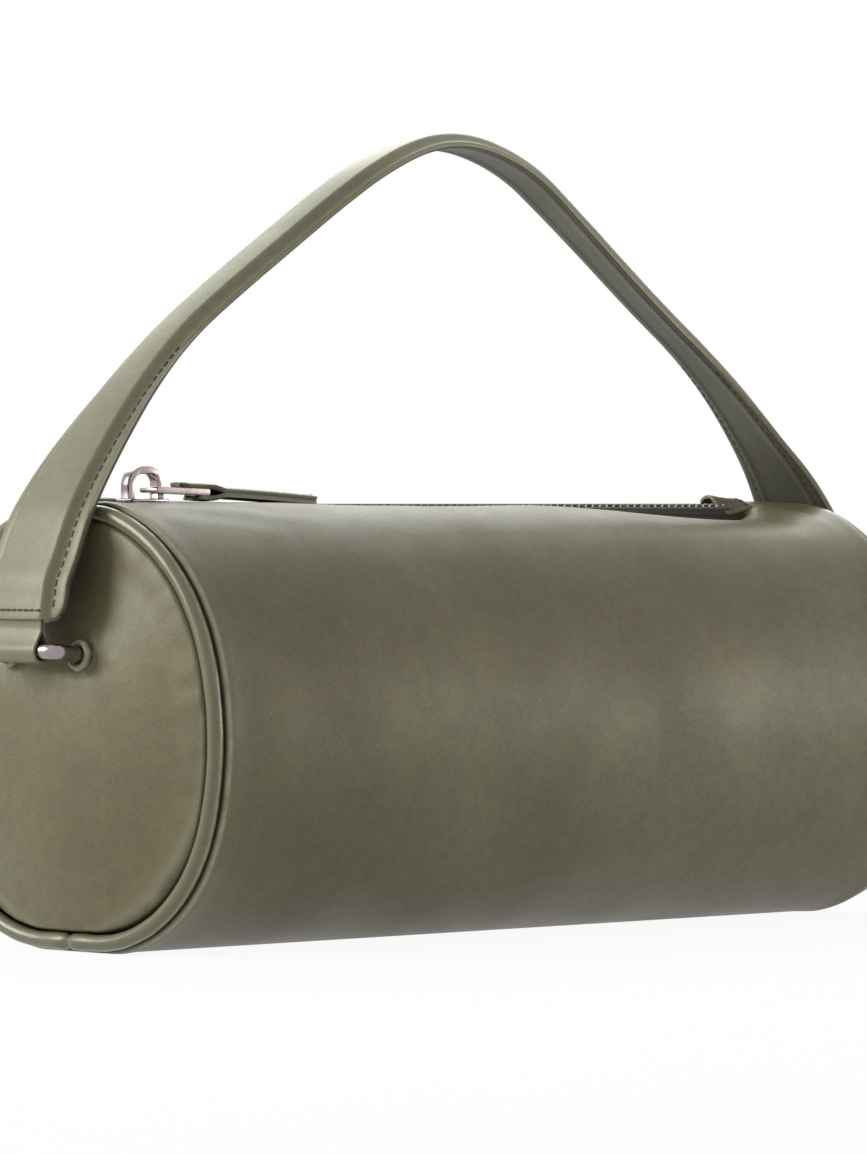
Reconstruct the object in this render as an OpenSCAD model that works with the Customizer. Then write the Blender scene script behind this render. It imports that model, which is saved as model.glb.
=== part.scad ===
// Small leather barrel bag: a lined wrap panel between two domed round ends, a top zip and one
// strap handle that is folded round a metal staple at each end.
// Frame: X runs along the barrel, -Y is the front, Z is up, and the origin is under its middle.

/* [Barrel] */
// Length of the barrel between the middles of its two pipings
barrel_l = 301.2; // [280:0.1:320]
// Width of the barrel, front to back
barrel_w = 130.8; // [124:0.1:138]
// Radius of the gently curved front and back, as a share of the width
side_share = 0.665; // [0.64:0.005:0.69]
// Radius of the curve at the top, as a share of the width
top_share = 0.275; // [0.24:0.005:0.3]
// Radius of the shoulders between the top and the sides, as a share of the width
shoulder_share = 0.471; // [0.45:0.001:0.49]
// Radius of the lower edges between the sides and the flat bottom, as a share of the width
haunch_share = 0.4037; // [0.38:0.0001:0.42]
// How far each end bulges out beyond its piping
dome_rise = 11; // [9:0.1:14]

/* [Leather, boards and lining] */
// Thickness of the wrap and end leather
panel_t = 1.5; // [1.3:0.05:1.7]
// Thickness of the edge that is turned under along the wrap's ends
hem_t = 1.2; // [1:0.05:1.4]
// Length of the turned edges at the end seams
hem_l = 9; // [7:0.1:10]
// Thickness of the stiffening boards
board_t = 1.6; // [1.3:0.05:1.9]
// Thickness of the lining cloth
lining_t = 0.8; // [0.6:0.05:1]
// Room behind each end board for the staple's plate and screws
hardware_room = 6; // [5.6:0.1:7]

/* [Piping] */
// Diameter of the leather-covered piping
piping_d = 4.6; // [4:0.1:5]
// How far the piping lies inside the wrap's outline
piping_inset = 0.8; // [0.6:0.05:1.2]
// Thickness of the doubled leather that sews the piping in
flange_t = 2.5; // [2.2:0.05:2.6]

/* [Zip] */
// Width of the zip opening in the wrap
slot_w = 14; // [13:0.1:15]
// Bare leather between the left piping and the zip opening
slot_left = 11.4; // [11.4:0.1:15]
// Bare leather between the zip opening and the right piping
slot_right = 23; // [20:0.1:27]
// Width of the closed chain of teeth
chain_w = 6.2; // [5.8:0.1:6.6]
// Distance from one tooth to the next in a row
tooth_pitch = 3.1; // [2.9:0.05:3.5]
// Length of a tooth along the row
tooth_l = 1.35; // [1.2:0.01:1.4]
// Thickness of a tooth
tooth_t = 2.6; // [2.3:0.05:2.8]
// Height of the chain's middle below the barrel's top line
chain_drop = 1.6; // [1.4:0.05:1.9]
// Thickness of the zip tape
tape_t = 0.6; // [0.5:0.02:0.7]
// Half the width of the two tapes together
tape_half_w = 11; // [10:0.1:13]

/* [Slider and puller] */
// Distance of the closed slider from the left piping
slider_from_piping = 28; // [26:0.1:40]
// Length of the slider
slider_l = 14.6; // [14:0.1:16]
// Width of the slider
slider_w = 10; // [9.6:0.1:10.6]
// Thickness of the slider's two plates
slider_plate_t = 1.1; // [1:0.05:1.3]
// Length of the arch on the slider
arch_l = 13.6; // [13:0.1:14]
// Height of the arch
arch_h = 9.6; // [9:0.1:10]
// Width of the arch across the zip
arch_w = 3.8; // [3.4:0.1:4]
// Thickness of the arch's band
arch_t = 2.3; // [2.1:0.05:2.5]
// Length of the metal link from its pivot bar
link_l = 21.2; // [19:0.1:24]
// Width of the link
link_w = 7.8; // [7.6:0.1:9]
// Thickness of the link
link_t = 1.8; // [1.5:0.05:2]
// Reach of the leather tab from the pivot bar
tab_reach = 62.6; // [58:0.1:70]
// Width of the leather tab
tab_w = 12.5; // [11:0.1:13.5]
// Thickness of each of the tab's two layers
tab_t = 1.4; // [1.2:0.05:1.6]

/* [Handle strap] */
// Height of the staple bars, as a share of the barrel's height
bar_share = 0.6728; // [0.65:0.001:0.69]
// Width of the strap at its two ends
strap_w = 36; // [34:0.2:38]
// Width of the strap over the middle of the handle
grip_w = 16.4; // [15:0.2:22]
// Length of strap over which it narrows
taper_l = 108; // [95:1:115]
// Thickness of the strap's outer leather
outer_t = 1.2; // [1:0.05:1.4]
// Thickness of the padding under the raised middle
core_t = 2.4; // [2.3:0.05:2.8]
// Thickness of the strap's lining leather
strap_lining_t = 1.1; // [0.9:0.05:1.3]
// Upright length of strap above each bar
rise_l = 16.8; // [16:0.1:19]
// Radius of the bend above the upright length
heel_r = 12; // [10:0.5:16]
// Radius of the long curve up to the flanks
flank_r = 215; // [200:0.5:230]
// Radius of the crown
crown_r = 73.6; // [60:0.1:85]
// Lean of the strap from upright where the long curve starts
heel_turn = 28.2; // [26:0.1:30]
// Lean of the strap's straight flanks from upright
flank_turn = 55.4; // [53:0.1:58]

/* [Staples and loops] */
// Diameter of the staple's round bar
bar_d = 4.8; // [4.4:0.1:5]
// Width of the staple over its two legs
staple_w = 36; // [35:0.1:38]
// Distance from the bar's middle to the leather of the end
bar_standoff = 9.9; // [9:0.1:11]
// Width of the leather loop that is folded round the bar
loop_w = 21; // [19:0.1:22]
// Thickness of the loop's leather
loop_t = 0.95; // [0.8:0.01:1]
// Length of the steel plate behind each end
plate_l = 44; // [42:0.1:48]
// Width of that plate
plate_w = 12; // [10:0.1:14]
// Thickness of that plate
plate_t = 1.2; // [1:0.05:1.5]

/* [Hidden] */

// Facets of a full circle
$fn = 96;
// Gap between layers that lie on each other
gap = 0.05;
// Gap between pieces that slide past each other
run_gap = 0.3;
// Overrun of cuts past the faces that they open
over = 1;

leather = [0.44, 0.42, 0.34];
leather_dark = [0.30, 0.29, 0.24];
nickel = [0.74, 0.70, 0.69];
cloth = [0.20, 0.19, 0.17];
board = [0.62, 0.55, 0.42];

// The barrel's outline is a chain of tangent arcs, each [middle, radius, start, end], in a flat frame
// where x is the width and y is the height. The arcs meet along two fixed directions, so that their
// middles stay on short decimals. The outline is closed by a flat strip below and one above, and it is
// mirrored for the other half.
function neat(v) = round(v * 10) / 10;
low_dir = [0.96, 0.28];
high_dir = [0.28, 0.96];
side_r = neat(barrel_w * side_share);
top_r = neat(barrel_w * top_share);
shoulder_r = neat(barrel_w * shoulder_share);
haunch_r = neat(barrel_w * haunch_share);
side_c = [neat(barrel_w / 2) - side_r, low_dir[1] * side_r + (1 - low_dir[1]) * haunch_r];
shoulder_c = side_c + (side_r - shoulder_r) * low_dir;
top_c = shoulder_c - (top_r - shoulder_r) * high_dir;
haunch_c = [side_c[0] + (side_r - haunch_r) * low_dir[0], haunch_r];
arcs = [
  [top_c, top_r, high_dir, [0, 1]],
  [shoulder_c, shoulder_r, low_dir, high_dir],
  [side_c, side_r, [low_dir[0], -low_dir[1]], low_dir],
  [haunch_c, haunch_r, [0, -1], [low_dir[0], -low_dir[1]]]];
// Points along one arc from its end back to its start, and round the whole outline moved in by inset
arc_steps = 12;
function arc_points(a, inset) =
  let (from = atan2(a[3][1], a[3][0]), to = atan2(a[2][1], a[2][0]))
  [for (k = [0 : arc_steps - 1])
    let (turn = from + (to - from) * k / arc_steps) a[0] + (a[1] - inset) * [cos(turn), sin(turn)]];
function half_outline(inset) = concat(
  [for (a = arcs, p = arc_points(a, inset)) p], [[haunch_c[0], inset]]);
function outline_points(inset) =
  let (half = half_outline(inset))
  concat(half, [for (k = [len(half) - 1 : -1 : 0]) [-half[k][0], half[k][1]]]);
barrel_h = top_c[1] + top_r;
crest_y = top_c[0];
foot_y = haunch_c[0];
function top_z(y, inset) = top_c[1] + sqrt(pow(top_r - inset, 2) - pow(max(y - crest_y, 0), 2));

// Seam stack at each end, from the outline inwards
edge_t = panel_t + hem_t;
rim_x = barrel_l / 2;
wrap_end = rim_x - piping_d / 2 - gap;
flange_inset = edge_t + gap;
skirt_inset = piping_inset + piping_d + gap;
skirt_l = hem_l + piping_d / 2;
lining_inset = panel_t + board_t + gap;
lining_half_l = rim_x - skirt_l - gap;

// Each end is a cap of a sphere
rim_h = barrel_h / 2 - skirt_inset;
dome_r = (rim_h * rim_h + dome_rise * dome_rise) / (2 * dome_rise);
dome_x = rim_x + dome_rise - dome_r;
dome_z = barrel_h / 2;
end_lining_r = dome_r - panel_t - board_t - hardware_room;

// Each staple stands square to the domed end
bar_z = neat(barrel_h * bar_share);
bar_reach = dome_r + bar_standoff;
staple_tilt = asin((bar_z - dome_z) / bar_reach);
bar_x = dome_x + bar_reach * cos(staple_tilt);
leg_y = (staple_w - bar_d) / 2;
bend_r = bar_d * 0.6;
plate_sag = (plate_l * plate_l + plate_w * plate_w) / (8 * (dome_r - panel_t - board_t));
plate_x = bar_standoff + panel_t + board_t + plate_sag + gap;
screw_r = bar_d * 0.21;
screw_l = bar_d * 1.2;
screw_head_r = bar_d / 2;
screw_head_t = bar_d * 0.3;
collar_r = bar_d * 0.85;
collar_t = bar_d * 0.3;

// Zip
slot_from = -rim_x + slot_left;
slot_to = rim_x - slot_right;
tape_from = max(slot_from, hem_l - wrap_end) + gap;
chain_z = barrel_h - chain_drop;
tape_flat_y = slot_w / 2 - 2 * tape_t;
tape_dip_y = slot_w / 2 - tape_t / 3;
slider_x = -rim_x + slider_from_piping;
diamond_share = 0.30;
diamond_w = chain_w * 0.42;
channel_h = tooth_t + 2 * run_gap;
flange_y = chain_w / 2 + run_gap;
teeth_from = slider_x - slider_l / 2 + slider_l * diamond_share + tooth_l;
teeth_to = slot_to - tooth_pitch;
tooth_count = floor((teeth_to - teeth_from) / tooth_pitch);
stop_l = tooth_l * 1.5;
stop_x = slider_x - slider_l / 2 - run_gap - stop_l;
end_tab_l = slot_w * 0.57;
end_tab_w = slot_w * 0.8;
end_tab_t = panel_t * 0.9;
flap_l = slot_w * 0.86;
flap_w = slot_w * 0.9;
flap_from = slot_to - flap_l * 0.7;
flap_rise = flap_w * 0.19;
flap_r = (flap_w * flap_w / 4 + flap_rise * flap_rise) / (2 * flap_rise);
flap_tilt = atan2(flap_rise, flap_l);

// Puller, in a frame on its pivot bar that leans down by rest_tilt until the tab nearly rests
plate_top = channel_h / 2 + slider_plate_t;
link_bar_r = link_t / 2;
pivot_x = slider_x + arch_l / 2 - arch_t - run_gap - link_bar_r;
pivot_z = chain_z + plate_top + link_bar_r * 3;
eye_hole_l = arch_h * 0.88;
tab_from = link_l * 0.47;
tab_under_from = link_l * 0.72;
tab_corner_r = tab_w * 0.22;
tab_neck_w = link_w + 2 * run_gap;
rest_drop = pivot_z - gap / 2 - tab_t - chain_z - tooth_t / 2 - run_gap;
rest_tilt = asin(rest_drop / tab_reach);

// Handle: strap heights n are measured from the middle of its full thickness
strap_t = strap_lining_t + core_t + outer_t;
inner_n = -strap_t / 2 + strap_lining_t;
raise_w_share = 0.64;
bevel_w = core_t * 0.7;
crest = outer_t * 0.3;
strap_from = bar_d * 1.9;
notch_l = bar_d * 1.1;
core_from = rise_l + heel_r * 0.5;
widest_l = bar_d * 3.6;
tongue_l = rise_l * 0.97;
heel_l = heel_r * heel_turn * PI / 180;
long_l = flank_r * (flank_turn - heel_turn) * PI / 180;
flank_x = bar_x - heel_r * (1 - cos(heel_turn)) - flank_r * (cos(heel_turn) - cos(flank_turn));
flank_z = bar_z + rise_l + heel_r * sin(heel_turn) + flank_r * (sin(flank_turn) - sin(heel_turn));
flank_l = (flank_x - crown_r * cos(flank_turn)) / sin(flank_turn);
crown_l = crown_r * (90 - flank_turn) * PI / 180;
long_from = rise_l + heel_l;
flank_from = long_from + long_l;
crown_from = flank_from + flank_l;
half_l = crown_from + crown_l;

// Lean of the strap from upright, s along its middle from the bar
function lean(s) =
  s < rise_l ? 0 :
  s < long_from ? (s - rise_l) / heel_r * 180 / PI :
  s < flank_from ? heel_turn + (s - long_from) / flank_r * 180 / PI :
  s < crown_from ? flank_turn : flank_turn + (s - crown_from) / crown_r * 180 / PI;
// End of an arc of radius r that turns from lean a to lean b
function arc_step(r, a, b) = r * [cos(b) - cos(a), sin(b) - sin(a)];
function middle(s) =
  s < rise_l ? [bar_x, bar_z + s] :
  s < long_from ? [bar_x, bar_z + rise_l] + arc_step(heel_r, 0, lean(s)) :
  s < flank_from ? [bar_x, bar_z + rise_l] + arc_step(heel_r, 0, heel_turn)
    + arc_step(flank_r, heel_turn, lean(s)) :
  s < crown_from ? [flank_x, flank_z] + (s - flank_from) * [-sin(flank_turn), cos(flank_turn)] :
  [flank_x, flank_z] + flank_l * [-sin(flank_turn), cos(flank_turn)]
    + arc_step(crown_r, flank_turn, lean(s));
// Full width of the strap, and how far it is cut away towards its lower end
function taper_share(s) = s < widest_l ? 0 : s > widest_l + taper_l ? 1 : (1 - cos(180 * (s - widest_l) / taper_l)) / 2;
function width_at(s) = strap_w + (grip_w - strap_w) * taper_share(s);
function notch_share(s) = s > strap_from + notch_l ? 1 : sqrt(1 - pow(1 - (s - strap_from) / notch_l, 2));
function raise_at(s) = width_at(s) * raise_w_share / 2;
function half_width_at(s) =
  let (inner = raise_at(s) + bevel_w * 0.2) inner + (width_at(s) / 2 - inner) * notch_share(s);
// Places of the strap's rings: close together in the notch, then even steps to the crown
ring_step = crown_r / 11;
function ring_places(from) = concat(
  [for (u = [0, 0.1, 0.3, 0.6]) from + u * notch_l],
  [for (k = [0 : floor((half_l - from - notch_l) / ring_step) - 1]) from + notch_l + k * ring_step],
  [half_l]);
// A ring of points [y, n] set across the strap at s, on the left or the right half
function ring(s, side, points) =
  let (m = middle(s), a = lean(s))
  [for (p = points) [side * (m[0] + p[1] * cos(a)), p[0], m[1] + p[1] * sin(a)]];
// Ring sections: outer leather with its raised middle, padding, and lining with a shallow channel
function outer_section(s) =
  let (h = half_width_at(s), c = raise_at(s), b = min(bevel_w, h - c), n = inner_n + gap)
  [[-h, n], [-c - b, n], [-c, n + core_t], [c, n + core_t], [c + b, n], [h, n],
   [h, n + outer_t], [c + b, n + outer_t], [c, n + core_t + outer_t],
   [0, n + core_t + outer_t + crest],
   [-c, n + core_t + outer_t], [-c - b, n + outer_t], [-h, n + outer_t]];
function core_section(s) =
  let (c = raise_at(s), n = inner_n + 2 * gap, t = core_t - 3 * gap)
  [[-c - bevel_w / 2, n], [c + bevel_w / 2, n], [c - gap, n + t], [-c + gap, n + t]];
function lining_section(s) =
  let (h = half_width_at(s), c = raise_at(s) - bevel_w, n = inner_n)
  [[-h, n - strap_lining_t], [-c - bevel_w / 2, n - strap_lining_t], [-c, n - strap_lining_t * 0.6],
   [c, n - strap_lining_t * 0.6], [c + bevel_w / 2, n - strap_lining_t], [h, n - strap_lining_t],
   [h, n], [-h, n]];

// Turns a shape made along z into one that runs along X, with x as Y and y as Z
module along_x() rotate([90, 0, 90]) children();

module on_side(side) mirror([side < 0 ? 1 : 0, 0, 0]) children();

// Carries a flat profile, drawn as [depth below the outline, place along the barrel], round it
module along_outline() {
  far = round(barrel_w * 4);
  for (half = [0, 1], a = arcs) mirror([half, 0, 0]) intersection() {
    translate(a[0]) rotate_extrude() translate([a[1], 0]) mirror([1, 0]) children();
    translate([0, 0, -far]) linear_extrude(2 * far) polygon([a[0], a[0] + far * a[2], a[0] + far * a[3]]);
  }
  translate([-foot_y, 0, 0]) rotate([90, 0, 90]) linear_extrude(2 * foot_y) children();
  translate([-crest_y, barrel_h, 0]) mirror([0, 1, 0]) rotate([90, 0, 90]) linear_extrude(2 * crest_y) children();
}

// A solid block behind the ball surface of radius r, trimmed to the outline moved in by inset
module domed_block(r, inset, from) intersection() {
  translate([0, dome_z, dome_x]) sphere(r);
  translate([0, 0, from]) linear_extrude(barrel_l) polygon(outline_points(inset));
}

// A domed cap of thickness t without a skirt
module domed_cap(r, t, inset) difference() {
  domed_block(r, inset, rim_x - hem_l - dome_rise);
  translate([0, dome_z, dome_x]) sphere(r - t);
}

// Cylinder between two heights along the staple's own inward direction, at width y
module inward_rod(y, from, to, r) translate([-to, y, 0]) rotate([0, 90, 0]) cylinder(r = r, h = to - from);

module at_staple(side) on_side(side) translate([bar_x, 0, bar_z]) rotate([0, -staple_tilt, 0]) children();

module at_legs(side) at_staple(side) for (y = [-leg_y, leg_y]) translate([0, y, 0]) children();

function round_end(t, end) =
  [for (k = [0 : 6]) let (a = 30 * k) [t / 2 + t / 2 * cos(a), end - t / 2 + t / 2 * sin(a)]];
function flipped(points) = [for (k = [len(points) - 1 : -1 : 0]) [points[k][0], -points[k][1]]];

module barrel_panel() color(leather) {
  end_points = concat([[panel_t, wrap_end - hem_l], [edge_t, wrap_end - hem_l]], round_end(edge_t, wrap_end));
  along_x() difference() {
    along_outline() polygon(concat(end_points, flipped(end_points)));
    translate([-slot_w / 2, dome_z, slot_from]) cube([slot_w, dome_z + over, slot_to - slot_from]);
  }
}

module barrel_lining() color(cloth) along_x() difference() {
  along_outline() translate([lining_inset, -lining_half_l]) square([lining_t, 2 * lining_half_l]);
  translate([-slot_w / 2 - over, dome_z, slot_from - over])
    cube([slot_w + 2 * over, dome_z + over, slot_to - slot_from + 2 * over]);
}

module base_board() color(board) {
  half_l = wrap_end - hem_l - over;
  translate([-half_l, -foot_y, panel_t + gap / 2]) cube([2 * half_l, 2 * foot_y, board_t]);
}

module end_panel(side) color(leather) difference() {
  union() {
    on_side(side) along_x() difference() {
      domed_block(dome_r, skirt_inset, rim_x - skirt_l);
      domed_block(dome_r - panel_t, skirt_inset + panel_t, rim_x - skirt_l - over);
    }
    at_legs(side) translate([-bar_standoff - panel_t / 2, 0, 0]) rotate([0, 90, 0])
      cylinder(r1 = collar_r, r2 = collar_r * 0.75, h = panel_t / 2 + collar_t);
  }
  at_legs(side) inward_rod(0, 0, plate_x + over, bar_d / 2 + gap);
}

module end_board(side) color(board) difference() {
  on_side(side) along_x() domed_cap(dome_r - panel_t - gap, board_t, skirt_inset + panel_t + gap);
  at_legs(side) inward_rod(0, 0, plate_x + over, bar_d / 2 + gap);
}

module end_lining(side) color(cloth) on_side(side) along_x() difference() {
  inset = skirt_inset + panel_t + gap;
  domed_block(end_lining_r, inset, lining_half_l - hem_l);
  domed_block(end_lining_r - lining_t, inset + lining_t, lining_half_l - hem_l - over);
}

module piping(side) color(leather) on_side(side) along_x() {
  along_outline() translate([piping_inset + piping_d / 2, rim_x]) circle(d = piping_d);
  along_outline() translate([flange_inset, rim_x - piping_d / 2 - hem_l]) square([flange_t, hem_l + piping_d / 3]);
}

module staple(side) color(nickel) at_staple(side) difference() {
  union() {
    translate([0, -leg_y + bend_r, 0]) rotate([-90, 0, 0]) cylinder(d = bar_d, h = 2 * (leg_y - bend_r));
    for (half = [0, 1]) mirror([0, half, 0]) {
      translate([-bend_r, leg_y - bend_r, 0]) rotate_extrude(angle = 90)
        translate([bend_r, 0]) circle(d = bar_d);
      inward_rod(leg_y, bend_r, plate_x, bar_d / 2);
    }
  }
  for (y = [-leg_y, leg_y]) inward_rod(y, plate_x - screw_l - gap, plate_x + over, screw_r + gap);
}

module staple_plate(side) color(nickel) at_staple(side) difference() {
  translate([-plate_x - plate_t, -plate_l / 2, -plate_w / 2]) cube([plate_t, plate_l, plate_w]);
  for (y = [-leg_y, leg_y]) inward_rod(y, plate_x - over, plate_x + plate_t + over, screw_r + gap);
}

module staple_screws(side) color(nickel) at_staple(side) for (y = [-leg_y, leg_y]) difference() {
  head_x = plate_x + plate_t;
  union() {
    inward_rod(y, plate_x - screw_l, head_x, screw_r);
    inward_rod(y, head_x, head_x + screw_head_t, screw_head_r);
  }
  translate([-head_x - screw_head_t - over, y - screw_head_r - over, -screw_r / 3])
    cube([over + screw_head_t / 2, 2 * (screw_head_r + over), screw_r * 2 / 3]);
}

// The loop goes round the bar, closes to a neck and ends as a tongue between the strap's layers
module handle_loop(side) color(leather) on_side(side) translate([bar_x, 0, bar_z]) {
  hole_r = bar_d / 2 + 3 * gap;
  tongue_t = 2 * loop_t;
  ring_r = hole_r + loop_t;
  tongue_n = inner_n + gap;
  tongue_w = loop_w * 0.88;
  corner_r = loop_w * 0.2;
  reach = 2 * (ring_r + over);
  intersection() {
    rotate([90, 0, 0]) translate([0, 0, -loop_w / 2]) linear_extrude(loop_w) difference() {
      union() {
        circle(ring_r);
        polygon([[-ring_r * 0.8, ring_r * 0.6], [ring_r * 0.8, ring_r * 0.6],
          [tongue_n + tongue_t, ring_r * 1.45], [tongue_n + tongue_t, tongue_l],
          [tongue_n, tongue_l], [tongue_n, ring_r * 1.45]]);
      }
      circle(hole_r);
    }
    translate([-reach / 2, 0, 0]) union() {
      translate([0, -loop_w / 2, -reach / 2]) cube([reach, loop_w, reach / 2 + ring_r * 1.3]);
      translate([0, -tongue_w / 2, 0]) cube([reach, tongue_w, tongue_l - corner_r]);
      translate([0, -tongue_w / 2 + corner_r, 0]) cube([reach, tongue_w - 2 * corner_r, tongue_l + over]);
      for (y = [-1, 1]) translate([0, y * (tongue_w / 2 - corner_r), tongue_l - corner_r])
        rotate([0, 90, 0]) cylinder(r = corner_r, h = reach, $fn = 32);
    }
  }
}

// A closed skin over a row of rings that all have the same number of points
module skin(rings) {
  n = len(rings[0]);
  last = len(rings) - 1;
  polyhedron(
    points = [for (r = rings, p = r) p],
    faces = concat(
      [[for (k = [0 : n - 1]) k]],
      [for (i = [0 : last - 1], k = [0 : n - 1], half = [0, 1])
        let (a = i * n + k, b = i * n + (k + 1) % n)
        half == 0 ? [a, a + n, b] : [b, a + n, b + n]],
      [[for (k = [n - 1 : -1 : 0]) last * n + k]]));
}

// Rings from the left end over the crown to the right end
function both_halves(places) = concat(
  [for (s = places) [s, -1]],
  [for (k = [len(places) - 2 : -1 : 0]) [places[k], 1]]);

module handle_strap() color(leather)
  skin([for (p = both_halves(ring_places(strap_from))) ring(p[0], p[1], outer_section(p[0]))]);

module handle_core() color(board)
  skin([for (p = both_halves(ring_places(core_from))) ring(p[0], p[1], core_section(p[0]))]);

module handle_lining() color(leather_dark)
  skin([for (p = both_halves(ring_places(strap_from))) ring(p[0], p[1], lining_section(p[0]))]);

module zip_tape(side) color(cloth) {
  under = [for (y = [tape_dip_y, tape_half_w]) [y, top_z(y, panel_t) - gap - tape_t / 2]];
  line = concat([[chain_w / 2, chain_z], [tape_flat_y, chain_z]], under);
  rise = [0, tape_t / 2];
  mirror([0, side < 0 ? 1 : 0, 0]) along_x() translate([0, 0, tape_from])
    linear_extrude(slot_to - gap - tape_from)
      polygon(concat([for (p = line) p + rise], [for (k = [len(line) - 1 : -1 : 0]) line[k] - rise]));
}

// One tooth lies across the chain, with a narrow head that reaches past the middle
module tooth() {
  head_y = -chain_w * 0.14;
  head_l = tooth_l * 0.62;
  translate([0, 0, -tooth_t / 2]) linear_extrude(tooth_t) polygon([
    [-tooth_l / 2, chain_w / 2], [-tooth_l / 2, chain_w * 0.12], [-head_l / 2, head_y],
    [head_l / 2, head_y], [tooth_l / 2, chain_w * 0.12], [tooth_l / 2, chain_w / 2]]);
}

module zip_teeth(side) color(nickel) for (k = [0 : tooth_count - 1])
  translate([teeth_from + (k + (side < 0 ? 0 : 0.5)) * tooth_pitch, 0, chain_z])
    mirror([0, side < 0 ? 1 : 0, 0]) tooth();

module zip_top_stops() color(nickel) for (side = [0, 1])
  mirror([0, side, 0]) translate([stop_x, run_gap, chain_z - tooth_t / 2])
    cube([stop_l, chain_w / 2 - run_gap, tooth_t]);

module zip_bottom_stop() color(nickel)
  translate([teeth_from + tooth_count * tooth_pitch, -chain_w / 2, chain_z - tooth_t / 2])
    cube([tooth_pitch / 2, chain_w, tooth_t]);

module zip_end_tab_left() color(leather) translate([slot_from - end_tab_l * 0.6, -end_tab_w / 2, barrel_h])
  cube([end_tab_l * 0.95, end_tab_w, end_tab_t]);

// The flap arches over the chain's end like a low tunnel, and runs down to its seam beyond the zip
module zip_end_flap_right() color(leather) intersection() {
  low_z = barrel_h + gap;
  translate([flap_from, 0, low_z + flap_rise - flap_r]) rotate([0, 90 + flap_tilt, 0]) difference() {
    translate([0, 0, -over]) cylinder(r = flap_r + panel_t, h = flap_l + 3 * over);
    translate([0, 0, -2 * over]) cylinder(r = flap_r, h = flap_l + 5 * over);
  }
  translate([flap_from, -flap_w / 2, low_z]) cube([flap_l, flap_w, flap_r]);
}

// Slider, in a frame on the middle of the chain below its arch
module zip_slider() color(nickel) translate([slider_x, 0, chain_z]) {
  half_l = slider_l / 2;
  half_w = slider_w / 2;
  plan = [[-half_l, half_w * 0.72], [-half_l * 0.82, half_w], [half_l * 0.3, half_w],
    [half_l * 0.86, half_w * 0.88], [half_l, half_w * 0.68]];
  outline = concat(plan, [for (k = [len(plan) - 1 : -1 : 0]) [plan[k][0], -plan[k][1]]]);
  lip_z = tape_t / 2 + run_gap;
  for (z = [-plate_top, channel_h / 2]) translate([0, 0, z]) linear_extrude(slider_plate_t) polygon(outline);
  for (side = [0, 1], z = [-channel_h / 2 - slider_plate_t / 2, lip_z])
    mirror([0, side, 0]) translate([-half_l * 0.82, flange_y, z])
      cube([half_l * 1.66, half_w * 0.88 - flange_y, channel_h / 2 + slider_plate_t / 2 - lip_z]);
  translate([0, 0, -channel_h / 2 - slider_plate_t / 2]) linear_extrude(channel_h + slider_plate_t)
    polygon([[-half_l * 0.95, 0], [-half_l * 0.7, diamond_w / 2],
      [-half_l + slider_l * diamond_share, 0], [-half_l * 0.7, -diamond_w / 2]]);
  translate([0, arch_w / 2, plate_top - slider_plate_t / 2]) rotate([90, 0, 0]) linear_extrude(arch_w) difference() {
    arch_outline(arch_l, arch_h + slider_plate_t / 2, arch_h * 0.62);
    translate([0, -over]) arch_outline(arch_l - 2 * arch_t, arch_h - arch_t + slider_plate_t / 2 + over, arch_h * 0.28);
  }
}

// A flat arch with round upper corners
module arch_outline(l, h, r) intersection() {
  translate([-l / 2, 0]) square([l, h]);
  union() {
    translate([-l / 2, 0]) square([l, h - r]);
    translate([-l / 2 + r, 0]) square([l - 2 * r, h]);
    for (side = [-1, 1]) translate([side * (l / 2 - r), h - r]) circle(r);
  }
}

module at_puller() translate([pivot_x, 0, pivot_z]) rotate([0, rest_tilt, 0]) children();

// The link's pivot bar runs through the arch, and its tail is held between the tab's layers
module pull_link() color(nickel) at_puller() {
  hole_w = arch_w + 2 * run_gap;
  nose_r = link_w * 0.2;
  rotate([90, 0, 0]) translate([0, 0, -link_w / 2]) cylinder(r = link_bar_r, h = link_w, $fn = 32);
  translate([0, 0, -link_t / 2]) linear_extrude(link_t) difference() {
    union() {
      translate([0, -link_w / 2]) square([link_l - nose_r, link_w]);
      translate([0, -link_w / 2 + nose_r]) square([link_l, link_w - 2 * nose_r]);
      for (side = [-1, 1]) translate([link_l - nose_r, side * (link_w / 2 - nose_r)]) circle(nose_r, $fn = 32);
    }
    translate([-over, -hole_w / 2]) square([eye_hole_l + over, hole_w]);
  }
}

// Plan of the tab: a neck over the link, shoulders, and a round-cornered body
module tab_plan(from) {
  shoulder_x = link_l * 0.93;
  wide_x = link_l * 1.12;
  polygon([[from, -tab_neck_w / 2], [shoulder_x, -tab_neck_w / 2], [wide_x, -tab_w / 2],
    [tab_reach - tab_corner_r, -tab_w / 2], [tab_reach - tab_corner_r, tab_w / 2],
    [wide_x, tab_w / 2], [shoulder_x, tab_neck_w / 2], [from, tab_neck_w / 2]]);
  translate([tab_reach - 2 * tab_corner_r, -tab_w / 2 + tab_corner_r])
    square([2 * tab_corner_r, tab_w - 2 * tab_corner_r]);
  for (side = [-1, 1]) translate([tab_reach - tab_corner_r, side * (tab_w / 2 - tab_corner_r)])
    circle(tab_corner_r, $fn = 32);
}

// A layer lies on the link, then closes on the other layer beyond the link's end
module tab_layer(from) {
  on_link = link_t / 2 + gap;
  apart_x = link_l + run_gap;
  close_x = apart_x + 2 * link_t;
  intersection() {
    translate([0, tab_w, 0]) rotate([90, 0, 0]) linear_extrude(2 * tab_w) polygon([
      [from, on_link], [apart_x, on_link], [close_x, gap / 2], [tab_reach + over, gap / 2],
      [tab_reach + over, tab_t], [close_x + tab_t / 4, tab_t], [apart_x + tab_t / 4, on_link + tab_t],
      [from, on_link + tab_t]]);
    translate([0, 0, -over]) linear_extrude(link_t + 2 * tab_t + 2 * over) tab_plan(from);
  }
}

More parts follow.
